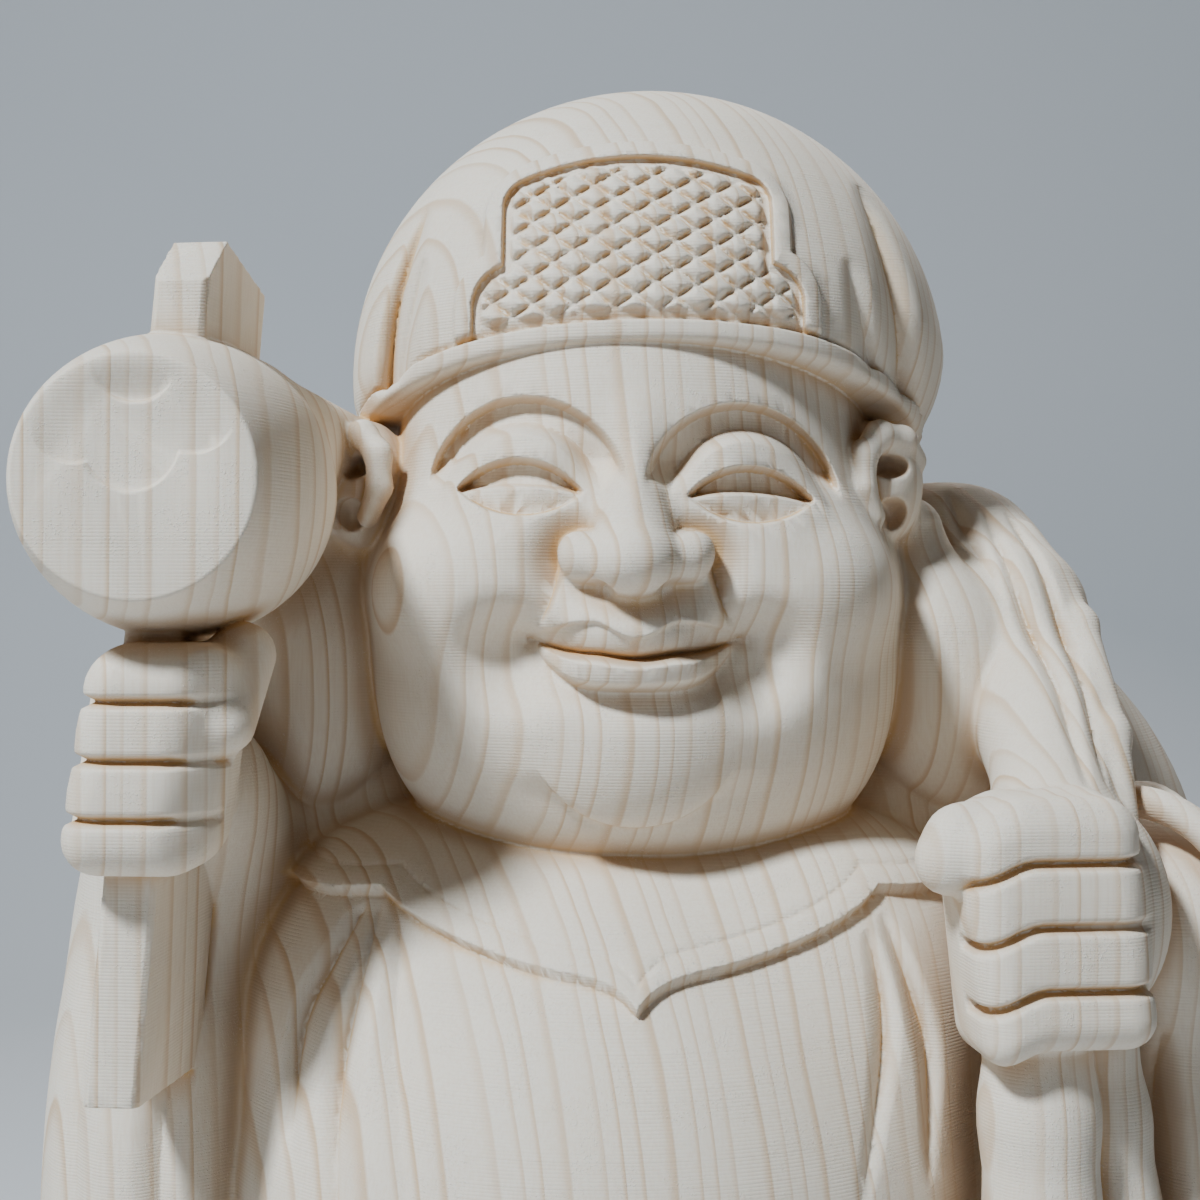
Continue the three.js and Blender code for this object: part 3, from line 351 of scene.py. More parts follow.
def sleeve_shape(x, y, z, arm, bag, folds):
    sleeve = join(limb(x, y, z, arm, 8), ellipsoid(x, y, z, *bag), 12)
    sleeve = sleeve + ease(-y, 0, 2) * stroke_depth(x, z, folds)
    below_hem = sleeve_hem + 0.16 * y - z
    sleeve = sleeve + 0.5 * np.exp(-((-below_hem - hem_line) / 0.7) ** 2)
    return cut(sleeve, below_hem, 2)


def right_sleeve_shape(x, y, z):
    return sleeve_shape(x, y, z, right_arm, right_sleeve_bag, right_sleeve_folds)


def rounded_box(x, y, z, half, rounding):
    qx = np.abs(x) - half[0] + rounding
    qy = np.abs(y) - half[1] + rounding
    qz = np.abs(z) - half[2] + rounding
    corner = np.sqrt(np.maximum(qx, 0) ** 2 + np.maximum(qy, 0) ** 2 + np.maximum(qz, 0) ** 2)
    return corner + np.minimum(np.maximum(np.maximum(qx, qy), qz), 0) - rounding


def in_fist(x, y, z, place, lean, turn):
    up = z - place[2]
    across, along = turned(x - place[0] - lean * up, y - place[1], turn)
    return across, along, up


def finger_block(across, along, up, half, rounding, groove_width, groove_depth, bevel):
    pitch = half[2] / 2
    block = rounded_box(across, along, up, half, rounding)
    block = cut(block, (across - half[0] - along - half[1] + bevel) * 0.7071, 2)
    nearest = np.clip(np.round(up / pitch), -1, 1) * pitch
    reach = 1 - 0.55 * ease(across, half[0] - bevel - 1, half[0] - bevel + 2)
    between = np.abs(up - nearest) / groove_width
    groove = 0.45 * np.exp(-between ** 2) + 0.55 * np.clip(1 - 0.8 * between, 0, 1)
    pad = 0.2 * (1 - np.exp(-((up - nearest) / (0.4 * pitch)) ** 2))
    front = ease(-along, 0, 1)
    return block + front * (groove_depth * reach * groove + 0.2 - pad)


def right_fist_shape(x, y, z):
    across, along, up = in_fist(x, y, z, right_fist_place, right_fist_lean, right_fist_turn)
    hand = finger_block(across, along, up, right_fist_half, rounding=6, groove_width=0.75,
                        groove_depth=1.9, bevel=6)
    hand = join(hand, limb(x, y, z, right_thumb), 1.5)
    return join(hand, limb(x, y, z, right_wrist), 4)


# The mallet
# A barrel-shaped drum on a flat handle that leans in towards the cap. Some wood is left behind it, so
# that it holds on to the head. Its struck face carries three shallow scallops and a disc over them.

drum_middle = (-63.4, -49, 282.6)
drum_half_length = 26
drum_middle_radius = 21
drum_end_radius = 15.8
drum_turn = math.radians(1)
drum_web = [(-58, -36, 289.5, 12.6), (-45, -13, 291, 5.4)]
handle_turn = math.radians(7)
relief_depth = 1.3
drum_lobes = [(-7.6, 6.9, 5.5), (-0.4, 4.4, 6.5), (7.5, 8.6, 6)]
drum_disc = (0.1, 15.2, 6)
handle_foot = (-68.6, -49, 199.5)
handle_head = (-58.9, -47.5, 316)
handle_half = (3.8, 13)


def drum_relief(u, w):
    scallops = np.minimum.reduce([np.hypot(u - cu, w - cw) - r for cu, cw, r in drum_lobes])
    sides = 0.25 * (np.abs(u) + 0.9 * (w - 8) - 13)
    scallops = np.minimum(scallops, np.maximum(sides, 8 - w))
    disc = np.hypot(u - drum_disc[0], w - drum_disc[1]) - drum_disc[2]
    from_rim = 0.6 * ease(drum_end_radius - np.hypot(u, w), 0.5, 6)
    return relief_depth * from_rim * (ease(-scallops, 0, soft_edge) + ease(-disc, 0, soft_edge))


def drum_shape(x, y, z):
    pz = z - drum_middle[2]
    across, along = turned(x - drum_middle[0], y - drum_middle[1], drum_turn)
    bulge = np.clip(1 - (along / drum_half_length) ** 2, 0, 1)
    side = (np.hypot(across, pz) - mix(drum_end_radius, drum_middle_radius, bulge)) * 0.93
    face = ease(-along, 0, 2) * drum_relief(across, pz)
    drum = cut(side, np.abs(along) - drum_half_length + face, 0.5)
    return join(drum, limb(x, y, z, drum_web), 3)


def handle_shape(x, y, z):
    t = (z - handle_foot[2]) / (handle_head[2] - handle_foot[2])
    px = x - mix(handle_foot[0], handle_head[0], t)
    py = y - mix(handle_foot[1], handle_head[1], t)
    across, along = turned(px, py, handle_turn)
    bar = np.maximum(np.abs(across) - handle_half[0], np.abs(along) - handle_half[1])
    bar = np.maximum(bar, handle_foot[2] - z)
    corners = (np.abs(across) + np.abs(along) - sum(handle_half) + 0.8) * 0.7071
    from_front = along + handle_half[1] - 6.5
    drop = np.maximum(-from_front * 0.97, from_front * 0.24)
    top = (z - handle_head[2] + drop) * 0.75
    return np.maximum(np.maximum(bar, corners), top)


# The left arm and fist
# The fist holds the neck of the sack against the chest, with the sleeve's cuff round the wrist.

left_sleeve_bag = [(82, -12, 178), (17, 33, 60)]
left_arm = [(42, 0, 230, 19), (78, 0, 206, 19), (80, -30, 218, 14)]
left_sleeve_folds = [
    stroke([(88, 222), (91, 200), (88, 160)], 2.4, 2),
    stroke([(76, 206), (75, 186), (77, 150)], 2.2, 2),
]
left_fist_place = (55.8, -54, 223.6)
left_fist_half = (12.4, 10, 17)
left_fist_lean = -0.1
left_fist_turn = math.radians(-6)
knuckle_dip = 3
left_palm = [(61.5, -46, 223.5), (13.5, 15, 17)]
left_thumb = [(60, -52, 236, 5.4), (44.4, -56.5, 233.8, 4.8), (42, -57, 231.4, 4.2)]
cuff_middle = (73, -35, 221)
cuff_axis = (-0.56, -0.83, 0)
cuff_radius = 16.5
cuff_roll = 2.4


def cuff_shape(x, y, z):
    px, py, pz = x - cuff_middle[0], y - cuff_middle[1], z - cuff_middle[2]
    along = px * cuff_axis[0] + py * cuff_axis[1] + pz * cuff_axis[2]
    outward = np.sqrt(np.maximum(px * px + py * py + pz * pz - along * along, 0))
    return np.hypot(outward - cuff_radius, along) - cuff_roll


def left_arm_shape(x, y, z):
    sleeve = sleeve_shape(x, y, z, left_arm, left_sleeve_bag, left_sleeve_folds)
    across, along, up = in_fist(x, y, z, left_fist_place, left_fist_lean, left_fist_turn)
    dip = knuckle_dip * ease(-across, 3, left_fist_half[0])
    hand = finger_block(across, along, up + dip, left_fist_half, rounding=5, groove_width=0.8,
                        groove_depth=2, bevel=0)
    hand = join(hand, ellipsoid(x, y, z, *left_palm), 2)
    hand = join(hand, limb(x, y, z, left_thumb), 1.5)
    return join(np.minimum(sleeve, cuff_shape(x, y, z)), hand, 0.8)


# The sack
# Its twisted neck comes over the left shoulder, the end hangs below the fist, and the full bag
# rests on the back. The cloth is gathered where it is held, with long folds running down the bag.

sack_bag = [(47, 42, 210), (60, 45, 61)]
sack_shoulder = [(26, 32, 246), (36, 26, 32)]
sack_neck = [
    (60, -42, 236, 9), (63, -24, 248, 8), (61, -6, 264, 10.5), (55, 10, 270, 14.5), (46, 22, 271, 16),
]
neck_ridge = [(64.6, -2, 277.5, 2.2), (70, -17, 263, 2.6), (70.4, -33, 247, 2.8), (69, -42, 236, 3)]
sack_tail = [(55.5, -50, 214, 7.5), (55.5, -52, 196, 7.5), (56, -54, 170, 9)]
sack_tail_side = [(64, -46, 214, 6), (66, -45, 194, 6), (69, -46, 170, 7.5)]
tail_end = 162
neck_folds = [
    stroke([(57.6, 282), (60, 268), (63, 253), (63, 239)], 1.2, 1.9),
    stroke([(61.5, 282), (64.8, 270), (67, 255), (66.6, 240)], 1, 1.6),
    stroke([(53, 285), (54, 278), (58, 266)], 1.4, 1.3),
]
sack_folds = [
    stroke([(52, 262), (40, 240), (24, 214), (14, 180)], 4, 2),
    stroke([(60, 262), (62, 236), (60, 206), (52, 172)], 4, 2),
    stroke([(68, 258), (82, 236), (90, 208), (88, 178)], 4, 2),
]


def sack_shape(x, y, z):
    cloth = join(limb(x, y, z, sack_neck, 10), limb(x, y, z, neck_ridge, 2), 1.2)
    cloth = cloth + stroke_depth(x, z, neck_folds) * ease(12 - y, 0, 8)
    tail = join(limb(x, y, z, sack_tail), limb(x, y, z, sack_tail_side), 0.8)
    tail = cut(tail, tail_end - z, 1)
    bag = join(ellipsoid(x, y, z, *sack_bag), ellipsoid(x, y, z, *sack_shoulder), 14)
    bag = bag + stroke_depth(x, z, sack_folds) * ease(y, 20, 40)
    return np.minimum(join(bag, cloth, 8), tail)


# The head
# A broad round face with full cheeks, half-closed eyes under cut crescents of brow, and a smile.
# The upper lip slopes back under a bowed edge, and a scored arc marks the chin.

smile_path = [(5.6, 277), (8.8, 276.4), (10.5, 273.6), (11, 270.5), (12.3, 266.2), (14.6, 261.8)]
smile_folds = [stroke(smile_path, 3.2, 2.7, 0.6)]
face_middle = (0.4, -6, 267)
face_half = (44.2, 42.5)
half_above, half_below = 76.0, 41.0
jowl = [(0.4, -24, 249.6), (38, 24.5, 28.2)]
cheek = [(22.5, -31, 269), (16, 16.8, 12.6)]
muzzle = [(0, -40, 261.6), (15.8, 13.8, 8.6)]
chin = [(0, -34.4, 246), (16, 15.5, 13.6)]
mouth_corner = [(17.8, -50.2, 258.6), (7.4, 8.8, 7.4)]
nose_wing = [(7.2, -48, 272.9), (3.6, 5.6, 3.7)]
nose_tip = [(-0.3, -52.2, 272.6), (6.3, 7, 5.1)]
nostril = [(5, -53, 268.2), (1.8, 2.8, 1.5)]
chin_arc_middle = 250
chin_arc_radius = 15.2
lid_middle = (16.4, 280.6)
lid_radius = 11.6
lid_height = 1.8
lid_rim = 2.4
brow_middle = (15.8, 280.8)
brow_radius = 15.2
brow_depth = 3
brow_wall = 1.2
upper_lid_arc = (16.6, 274.8, 11.9)
lower_lid_arc = (16.4, 291.6, 13.5)
lid_bevel = 0.9
slit_depth = 3
eyeball_top = 283.1
eyeball_height = 2.6
eyeball_slope = 0.5
eyeball_bow = 0.012
eye_hollow = (6.6, 285)
eye_hollow_width = 4.6
eye_hollow_depth = 2.2
head_tilt = 0.035
jowl_lean = 0.18
mouth_half = 15.6
mouth_top, mouth_parting, mouth_bottom = 261.9, 258.9, 254.1
corner_height = 261.4
lip_peak = 6.4
lip_step = 0.9
lip_slope = 1.3
lip_bulge = 1.7
lip_undercut = 1.9
parting_depth = 0.9
corner_pit = 1.5
nose_bridge = [(0, -41, 292, 5), (-0.2, -49, 277, 5.4)]


def eye_relief(u, z):
    r = np.hypot(u - lid_middle[0], z - lid_middle[1])
    from_brow = brow_radius - np.hypot(u - brow_middle[0], z - brow_middle[1])
    upper = ease(z, lid_middle[1] + 1.5, lid_middle[1] + 7)
    crescent = ease(from_brow, 0, brow_wall) * ease(r, lid_radius - lid_rim, lid_radius)
    dome = np.maximum(1 - (r / lid_radius) ** 2, 0)
    lid = mix(dome * dome, np.sqrt(dome), ease(z, lid_middle[1] - 4, lid_middle[1] + 4))
    under_lid = upper_lid_arc[2] - np.hypot(u - upper_lid_arc[0], z - upper_lid_arc[1])
    over_cheek = lower_lid_arc[2] - np.hypot(u - lower_lid_arc[0], z - lower_lid_arc[1])
    opened = np.clip(under_lid / lid_bevel, 0, 1) * ease(over_cheek, 0, soft_edge)
    below_ledge = eyeball_top - eyeball_bow * (u - lid_middle[0]) ** 2 - z
    ball = ease(below_ledge, 0, 0.8) * (eyeball_height - eyeball_slope * np.maximum(below_ledge, 0))
    from_hollow = np.hypot(u - eye_hollow[0], z - eye_hollow[1]) / eye_hollow_width
    relief = lid_height * lid - brow_depth * crescent * upper
    return relief - eye_hollow_depth * np.exp(-from_hollow ** 2) - opened * (slit_depth - ball)


def mouth_relief(u, z):
    rise = (1 - np.cos(math.pi * np.minimum(u / lip_peak, 1))) / 2
    to_corner = np.clip((u - lip_peak) / (mouth_half - lip_peak), 0, 1)
    top = mouth_top + 2.4 * rise - 2.2 * to_corner ** 1.5
    parting = mouth_parting + 0.7 * rise + 2.2 * to_corner ** 2
    bottom = mouth_bottom + 2.2 * (u / 11) ** 4
    t = (parting - z) / np.maximum(parting - bottom, 0.05)
    side = np.sqrt(np.maximum(1 - (u / mouth_half) ** 2, 0))
    upper_lip = lip_step * ease(top - z, 0, 0.7) + lip_slope * np.clip((top - z) / (top - parting), 0, 1)
    below = lip_undercut * np.exp(-((bottom - z) / 3.4) ** 2)
    out = ease(t, 0, 0.3) * np.sqrt(np.maximum(1 - (u / 14) ** 2, 0))
    proud = lip_bulge * out * (0.75 + 0.25 * t)
    lower_lip = mix((lip_step + lip_slope) * (1 - out) - proud, below, ease(t, 0.68, 1.04))
    line = parting_depth * np.exp(-((z - parting) / 0.4) ** 2)
    pit = corner_pit * np.exp(-((u - mouth_half) / 1.8) ** 2 - ((z - corner_height) / 1.8) ** 2)
    return side * (np.where(z > parting, upper_lip, np.where(t > 1.04, below, lower_lip)) + line) + pit


def face_shape(x, y, z):
    u = np.abs(x)
    half_height = np.where(z > face_middle[2], half_above, half_below)
    face = ellipsoid(x, y, z, face_middle, (*face_half, half_height))
    face = face + 5 * ease(z, 266, 292) * (x / face_half[0]) ** 2
    further_back = y - jowl_lean * (jowl[0][2] - z)
    full = join(face, ellipsoid(x, further_back, z, *jowl), 8)
    for mass, blend in ((cheek, 6), (muzzle, 3), (chin, 6)):
        full = join(full, ellipsoid(u, y, z, *mass), blend)
    face = mix(face, full, ease(-y, 0, 4))
    carved = face + stroke_depth(u, z, smile_folds)
    carved = cut(carved, -ellipsoid(u, y, z, *mouth_corner), 5)
    carved = carved + mouth_relief(u, z)
    carved = join(carved, limb(x, y, z, nose_bridge), 2.4)
    carved = join(carved, ellipsoid(u, y, z, *nose_wing), 1.2)
    carved = join(carved, ellipsoid(x, y, z, *nose_tip), 2.4)
    carved = cut(carved, -ellipsoid(u, y, z, *nostril), 0.8)
    below_chin = np.hypot(x, z - chin_arc_middle) - chin_arc_radius
    underside = ease(chin_arc_middle - z, 6.5, 12) * np.exp(-np.maximum(below_chin, 0) / 4)
    carved = carved + 2 * underside * ease(below_chin, 0, soft_edge)
    carved = carved - eye_relief(u, z + head_tilt * x) * ease(-y, 22, 32)
    return mix(face, carved, ease(-y, 16, 22))


# The ears
# A folded rim above, and a heavy lobe that hangs to the shoulder. The left ear lies closer to the head.

ear_tuck = 3.6
ear_rim = [
    (47, -19.6, 288.6, 2.2), (44.8, -22.2, 291.4, 2.3), (41, -25.4, 292, 2.2), (38.4, -27.6, 289, 2),
    (38.2, -28, 284, 1.9), (40, -27, 279.6, 1.7),
]
ear_shell = [(41.6, -16.5, 285), (7.4, 9.8, 10)]
upper_hollow = [(42.8, -26, 287.4), (3, 5.6, 1.9)]
lower_hollow = [(43.2, -24.6, 280), (2.4, 4.6, 2.6)]
ear_ridge = [(42.6, -21.6, 284), (3, 3.6, 1.9)]
lobe_neck = [(44.4, -10, 278, 5.4), (47, -11, 262, 8.4)]
lobe = [(49.4, -14, 252), (13, 10.4, 18.4)]


def ear_shape(x, y, z):
    u = np.where(x > 0, x + ear_tuck, -x)
    ear = join(ellipsoid(u, y, z, *ear_shell), limb(np.abs(x), y, z, lobe_neck), 3)
    ear = cut(ear, -ellipsoid(u, y, z, *upper_hollow), 0.8)
    ear = cut(ear, -ellipsoid(u, y, z, *lower_hollow), 0.8)
    ear = join(ear, ellipsoid(u, y, z, *ear_ridge), 0.8)
    ear = join(ear, limb(u, y, z, ear_rim, 1), 0.8)
    return join(ear, ellipsoid(np.abs(x), y, z, *lobe), 8)


# The cap
# A soft bag of cloth above a rolled band, with a raised and scalloped panel over the forehead.
# Inside the panel's frame a trough is cut, and within it a lattice of small pillows.

cap_bag = [(3, 3, 303), (49.5, 47.5, 48)]
cap_nape = [(4, 22, 304), (45, 38, 40)]
band_front = 304.3
band_slope = 0.3
band_height = 3
band_step = 0.7
band_roll = 0.25
gather_depth = 0.8
gather_height = 9
tuck_depth = 3
tuck_height = 16
panel_middle = 0.4
panel_step = 1.1
panel_arch = 0.0105
frame_width = 2.8
trough_width = 1.3
pillow_height = 1.5
pillow_down = (2.95, -2.3)
pillow_up = (-2.95, -1.85)
pillow_start = (5.9, 318.5)
cap_folds = [
    stroke([(-38.6, 286), (-37.8, 300), (-36, 313), (-31.6, 328)], 1.6, 3),
    stroke([(-37, 286), (-35.4, 303), (-31.6, 319)], 1.5, 2.8),
    stroke([(41, 282), (41.6, 300), (39.6, 315), (35, 332)], 2.4, 3.2),
    stroke([(37.6, 284), (36.2, 300), (31.6, 318)], 2, 2.4),
]
nape_folds = [
    stroke([(-26, 296), (-30, 308), (-27, 322)], 3, 2),
    stroke([(-10, 293), (-12, 306), (-9, 321)], 3, 2.2),
    stroke([(6, 292), (7, 305), (4, 322)], 3, 2.2),
    stroke([(22, 293), (25, 306), (20, 322)], 3, 2.2),
    stroke([(36, 297), (41, 310), (34, 323)], 3, 2),
]


def pillow_relief(x, z):
    """How high the lattice stands: nothing along its cut lines, and one on the crown of each pillow."""
    cross = pillow_down[0] * pillow_up[1] - pillow_down[1] * pillow_up[0]
    px, pz = x - pillow_start[0], z - pillow_start[1]
    along_down = (px * pillow_up[1] - pz * pillow_up[0]) / cross
    along_up = (pz * pillow_down[0] - px * pillow_down[1]) / cross
    rows = []
    for place, side in ((along_down, pillow_up), (along_up, pillow_down)):
        spacing = abs(cross) / math.hypot(*side)
        rows.append(np.abs(place - np.floor(place)) * spacing)
        rows.append((1 - place + np.floor(place)) * spacing)
    nearest = np.minimum.reduce(rows)
    return 0.75 * np.clip(nearest / 0.75, 0, 1) + 0.25 * ease(nearest, 0.5, 1.7)


def cap_shape(x, y, z):
    shape = join(ellipsoid(x, y, z, *cap_bag), ellipsoid(x, y, z, *cap_nape), 8)
    above_brim = z - band_front + band_slope * (y + 45)
    front = ease(-y, -4, 8)
    shape = shape + stroke_depth(x, z, cap_folds) * front * ease(above_brim, 0.5, 5)
    shape = shape + stroke_depth(x, z, nape_folds) * ease(y, 14, 26)
    gathered = ease(np.abs(x - 2), 24, 42) * (1 - ease(above_brim, 0, gather_height))
    shape = shape + gather_depth * gathered
    shape = shape + tuck_depth * ease(x, 20, 44) * (1 - ease(above_brim, 0, tuck_height))
    shape = shape + band_step * ease(above_brim, band_height - 0.3, band_height + 0.3)
    shape = shape + 0.6 * np.exp(-((above_brim - band_height - 0.5) / 0.5) ** 2)
    roll = np.clip(1 - ((above_brim - band_height / 2) / (0.62 * band_height)) ** 2, 0, 1)
    shape = shape - band_roll * np.sqrt(roll)
    u = x - panel_middle
    lower = rounded_outline(u, z - 300, 27.2, 18.9, 9)
    upper = rounded_outline(u, z + panel_arch * u * u - 312, 22.7, 23.3, 6)
    inside = -np.minimum(lower, upper)
    frame_edge = ease(inside, 0, soft_edge) - ease(inside, frame_width, frame_width + soft_edge)
    field_edge = inside - frame_width - trough_width
    lattice = ease(field_edge, 0, 0.6) * ease(above_brim, band_height + 1.4, band_height + 2.2)
    relief = panel_step * frame_edge + pillow_height * lattice * pillow_relief(x, z)
    relief = relief - 0.3 * ease(inside, frame_width, frame_width + 0.3)
    raised = ease(above_brim, band_height, band_height + 1)
    shape = shape - ease(-y, 0, 4) * relief * raised
    return cut(shape, -above_brim, 1.2)


# The carving
# All of it is one block of cypress, so the shapes above are joined into one and carried out as one skin.
# Its points lie closest together where the face, the cap, the mallet and the hands are.

carved_parts = [
    (trunk_shape, (0, 0, 182), 80, 1),
    (skirt_shape, (0, 0, 100), 98, 3),
    (sash_shape, (-2, -4, 122), 70, 1),
    (leg_shape, (0, 0, 42), 92, 1.5),
    (sack_shape, (50, 10, 215), 92, 1.5),
    (right_sleeve_shape, (-66, -10, 182), 80, 2),
    (right_fist_shape, (-64, -52, 248), 32, 0.6),
    (left_arm_shape, (72, -12, 186), 80, 1.5),
    (handle_shape, (-64, -48, 258), 62, 0.5),
    (drum_shape, (-56, -38, 283), 48, 0.5),
    (face_shape, (0, -10, 278), 64, 0.8),
    (ear_shape, (0, -12, 264), 68, 1.2),
    (cap_shape, (3, 12, 302), 62, 0.5),
]
far_enough = 14
fine_step = 0.37
coarse_step = 1.5
carving_reach = [(-98, 116), (-84, 94), (-coarse_step / 2, stand_height + 356)]
fine_reach = [(-84, 80), (-80, -18), (stand_height + 196, stand_height + 352)]
block_cells = 8
triangle_limit = 194000
unfolding_rounds = 6
workers = ThreadPoolExecutor(4)


def figure_shape(x, y, z):
    figure = np.full(x.shape, 1e9)
    for shape, middle, radius, blend in carved_parts:
        outside = np.sqrt((x - middle[0]) ** 2 + (y - middle[1]) ** 2 + (z - middle[2]) ** 2) - radius
        far = outside > far_enough
        near = np.flatnonzero(~far & (outside <= figure + blend))
        figure = np.where(far, np.minimum(figure, outside), figure)
        if near.size:
            figure[near] = join(figure[near], shape(x[near], y[near], z[near]), blend)
    return figure


def carved_shape(points):
    x, y, z = points
    whole = figure_shape(x, y, z - stand_height)
    low = np.flatnonzero(z < stand_height + bale_radius)
    if low.size:
        lx, ly, lz = x[low], y[low], z[low]
        stand = join(bale_shape(lx, ly, lz), plinth_shape(lx, ly, lz), 0.8)
        whole[low] = join(whole[low], stand, 1.2)
    return np.maximum(whole, -z)


def grid_lines(reach, fine):
    lines = [reach[0]]
    while lines[-1] < reach[1] or (len(lines) - 1) % block_cells:
        inside = fine[0] < lines[-1] < fine[1]
        lines.append(lines[-1] + (fine_step if inside else coarse_step))
    return np.array(lines)


def blocks_near_surface(lines):
    """The first cell of every block of cells that the surface probably passes through."""
    counts = [(len(line) - 1) // block_cells for line in lines]
    firsts = np.stack(np.meshgrid(*[np.arange(n) for n in counts], indexing="ij"), -1).reshape(-1, 3)
    firsts = firsts * block_cells
    low = np.stack([line[firsts[:, i]] for i, line in enumerate(lines)])
    high = np.stack([line[firsts[:, i] + block_cells] for i, line in enumerate(lines)])
    reach = 0.5 * np.sqrt(((high - low) ** 2).sum(0)) + 0.5
    return firsts[np.abs(carved_shape((low + high) / 2)) < reach]


cell_corners = np.array([(i, j, k) for k in (0, 1) for j in (0, 1) for i in (0, 1)])
cell_edges = [(a, b) for a in range(8) for b in range(a + 1, 8) if bin(a ^ b).count("1") == 1]


def skin_of_blocks(firsts, lines):
    """One point for each cell that the surface passes through, and which of its corners are inside."""
    steps = np.arange(block_cells + 1)
    spots = [line[firsts[:, i, None] + steps] for i, line in enumerate(lines)]
    shape = (len(firsts),) + (block_cells + 1,) * 3
    x = np.broadcast_to(spots[0][:, :, None, None], shape).ravel()
    y = np.broadcast_to(spots[1][:, None, :, None], shape).ravel()
    z = np.broadcast_to(spots[2][:, None, None, :], shape).ravel()
    values = carved_shape((x, y, z)).reshape(shape)
    values = np.where(np.abs(values) < 1e-5, 1e-5, values)
    inside = values < 0
    count = np.zeros((len(firsts),) + (block_cells,) * 3, int)
    for i, j, k in cell_corners:
        count += inside[:, i:i + block_cells, j:j + block_cells, k:k + block_cells]
    block, ci, cj, ck = np.nonzero((count > 0) & (count < 8))
    corner_values, corner_spots = [], []
    for i, j, k in cell_corners:
        corner_values.append(values[block, ci + i, cj + j, ck + k])
        corner_spots.append(np.stack([
            spots[0][block, ci + i], spots[1][block, cj + j], spots[2][block, ck + k]], -1))
    total = np.zeros((len(block), 3))
    crossings = np.zeros((len(block), 1))
    for a, b in cell_edges:
        va, vb = corner_values[a], corner_values[b]
        crossed = (va < 0) != (vb < 0)
        t = np.where(crossed, va / np.where(crossed, va - vb, 1), 0)[:, None]
        total += np.where(crossed[:, None], mix(corner_spots[a], corner_spots[b], t), 0)
        crossings += crossed[:, None]
    cells = firsts[block] + np.stack([ci, cj, ck], -1)
    corners_inside = np.stack([value < 0 for value in corner_values], -1)
    return cells, total / crossings, corners_inside


def skin_quads_of(cells, inside, lines):
    """The quads round the crossed edges of the grid, and the cells beside them that are still missing."""
    rows = np.array([1, len(lines[0]), len(lines[0]) * len(lines[1])])
    numbers = cells @ rows
    order = np.argsort(numbers)
    ranked = numbers[order]
    quads, missing = [], []

    def places_of(wanted):
        found = np.minimum(np.searchsorted(ranked, wanted), len(ranked) - 1)
        missing.append(wanted[ranked[found] != wanted])
        return order[found]

    for axis in range(3):
        one, two = (axis + 1) % 3, (axis + 2) % 3
        beside = [(1 << one, rows[one]), (1 << two, rows[two]), (1 << one | 1 << two, rows[one] + rows[two])]
        for low, step in beside:
            places_of(numbers[inside[:, low] != inside[:, low | 1 << axis]] + step)
        crossed = inside[:, 0] != inside[:, 1 << axis]
        here = numbers[crossed]
        around = np.stack([here, here - rows[one], here - rows[one] - rows[two], here - rows[two]], -1)
        quad = places_of(around)
        quads.append(np.where(inside[crossed, :1], quad, quad[:, ::-1]))
    missing = np.unique(np.concatenate(missing))
    count_x, count_y = len(lines[0]), len(lines[1])
    missing_cells = np.stack([missing % count_x, missing // count_x % count_y, missing // rows[2]], -1)
    return np.concatenate(quads), missing_cells


def skin(lines):
    """The whole skin. A block that turns out to be missing beside a finished one is carried out next."""
    firsts = blocks_near_surface(lines)
    done = []
    while len(firsts):
        batches = [firsts[i:i + 100] for i in range(0, len(firsts), 100)]
        done += workers.map(lambda batch: skin_of_blocks(batch, lines), batches)
        cells, points, inside = (np.concatenate(part) for part in zip(*done))
        quads, missing = skin_quads_of(cells, inside, lines)
        firsts = np.unique(missing // block_cells * block_cells, axis=0)
    return points, quads


def in_batches(work, points, count=60000):
    batches = [points[i:i + count] for i in range(0, len(points), count)]
    return np.concatenate(list(workers.map(work, batches)))


def shape_at(points):
    return carved_shape(points.T.copy())


def slope_of(points, reach=0.15):
    slope = np.empty_like(points)
    for axis in range(3):
        ahead, behind = points.T.copy(), points.T.copy()
        ahead[axis] += reach
        behind[axis] -= reach
        slope[:, axis] = (carved_shape(ahead) - carved_shape(behind)) / (2 * reach)
    return slope


def drawn_to_surface(points):
    slope = slope_of(points)
    off = shape_at(points) / np.maximum((slope ** 2).sum(1), 0.3)
    points = points - slope * np.clip(off, -0.3, 0.3)[:, None]
    points[:, 2] = np.where(points[:, 2] < 0.3, 0, points[:, 2])
    return points


def unit(vectors):
    return vectors / np.maximum(np.linalg.norm(vectors, axis=1, keepdims=True), 1e-9)


def normal_of(points):
    return unit(slope_of(points, 0.3))


def normal_of_triangles(points, corners):
    a, b, c = (points[corners[:, i]] for i in range(3))
    facing = np.cross(b - a, c - a)
    total = [np.bincount(corners.ravel(), np.repeat(facing[:, axis], 3), len(points)) for axis in range(3)]
    return unit(np.stack(total, -1))


def unfolded(points, normals, corners):
    """Points of triangles that face into the wood are moved to the middle of their neighbours."""
    for _ in range(unfolding_rounds):
        a, b, c = (points[corners[:, i]] for i in range(3))
        facing = (np.cross(b - a, c - a) * normals[corners].sum(1)).sum(1)
        loose = np.unique(corners[facing < 0])
        nearby = np.zeros_like(points)
        count = np.bincount(corners.ravel(), minlength=len(points)) * 2
        for axis in range(3):
            others = points[corners, axis].sum(1, keepdims=True) - points[corners, axis]
            nearby[:, axis] = np.bincount(corners.ravel(), others.ravel(), len(points))
        points[loose] = nearby[loose] / count[loose, None]
        normals[loose] = normal_of(points[loose])
    return points, normals


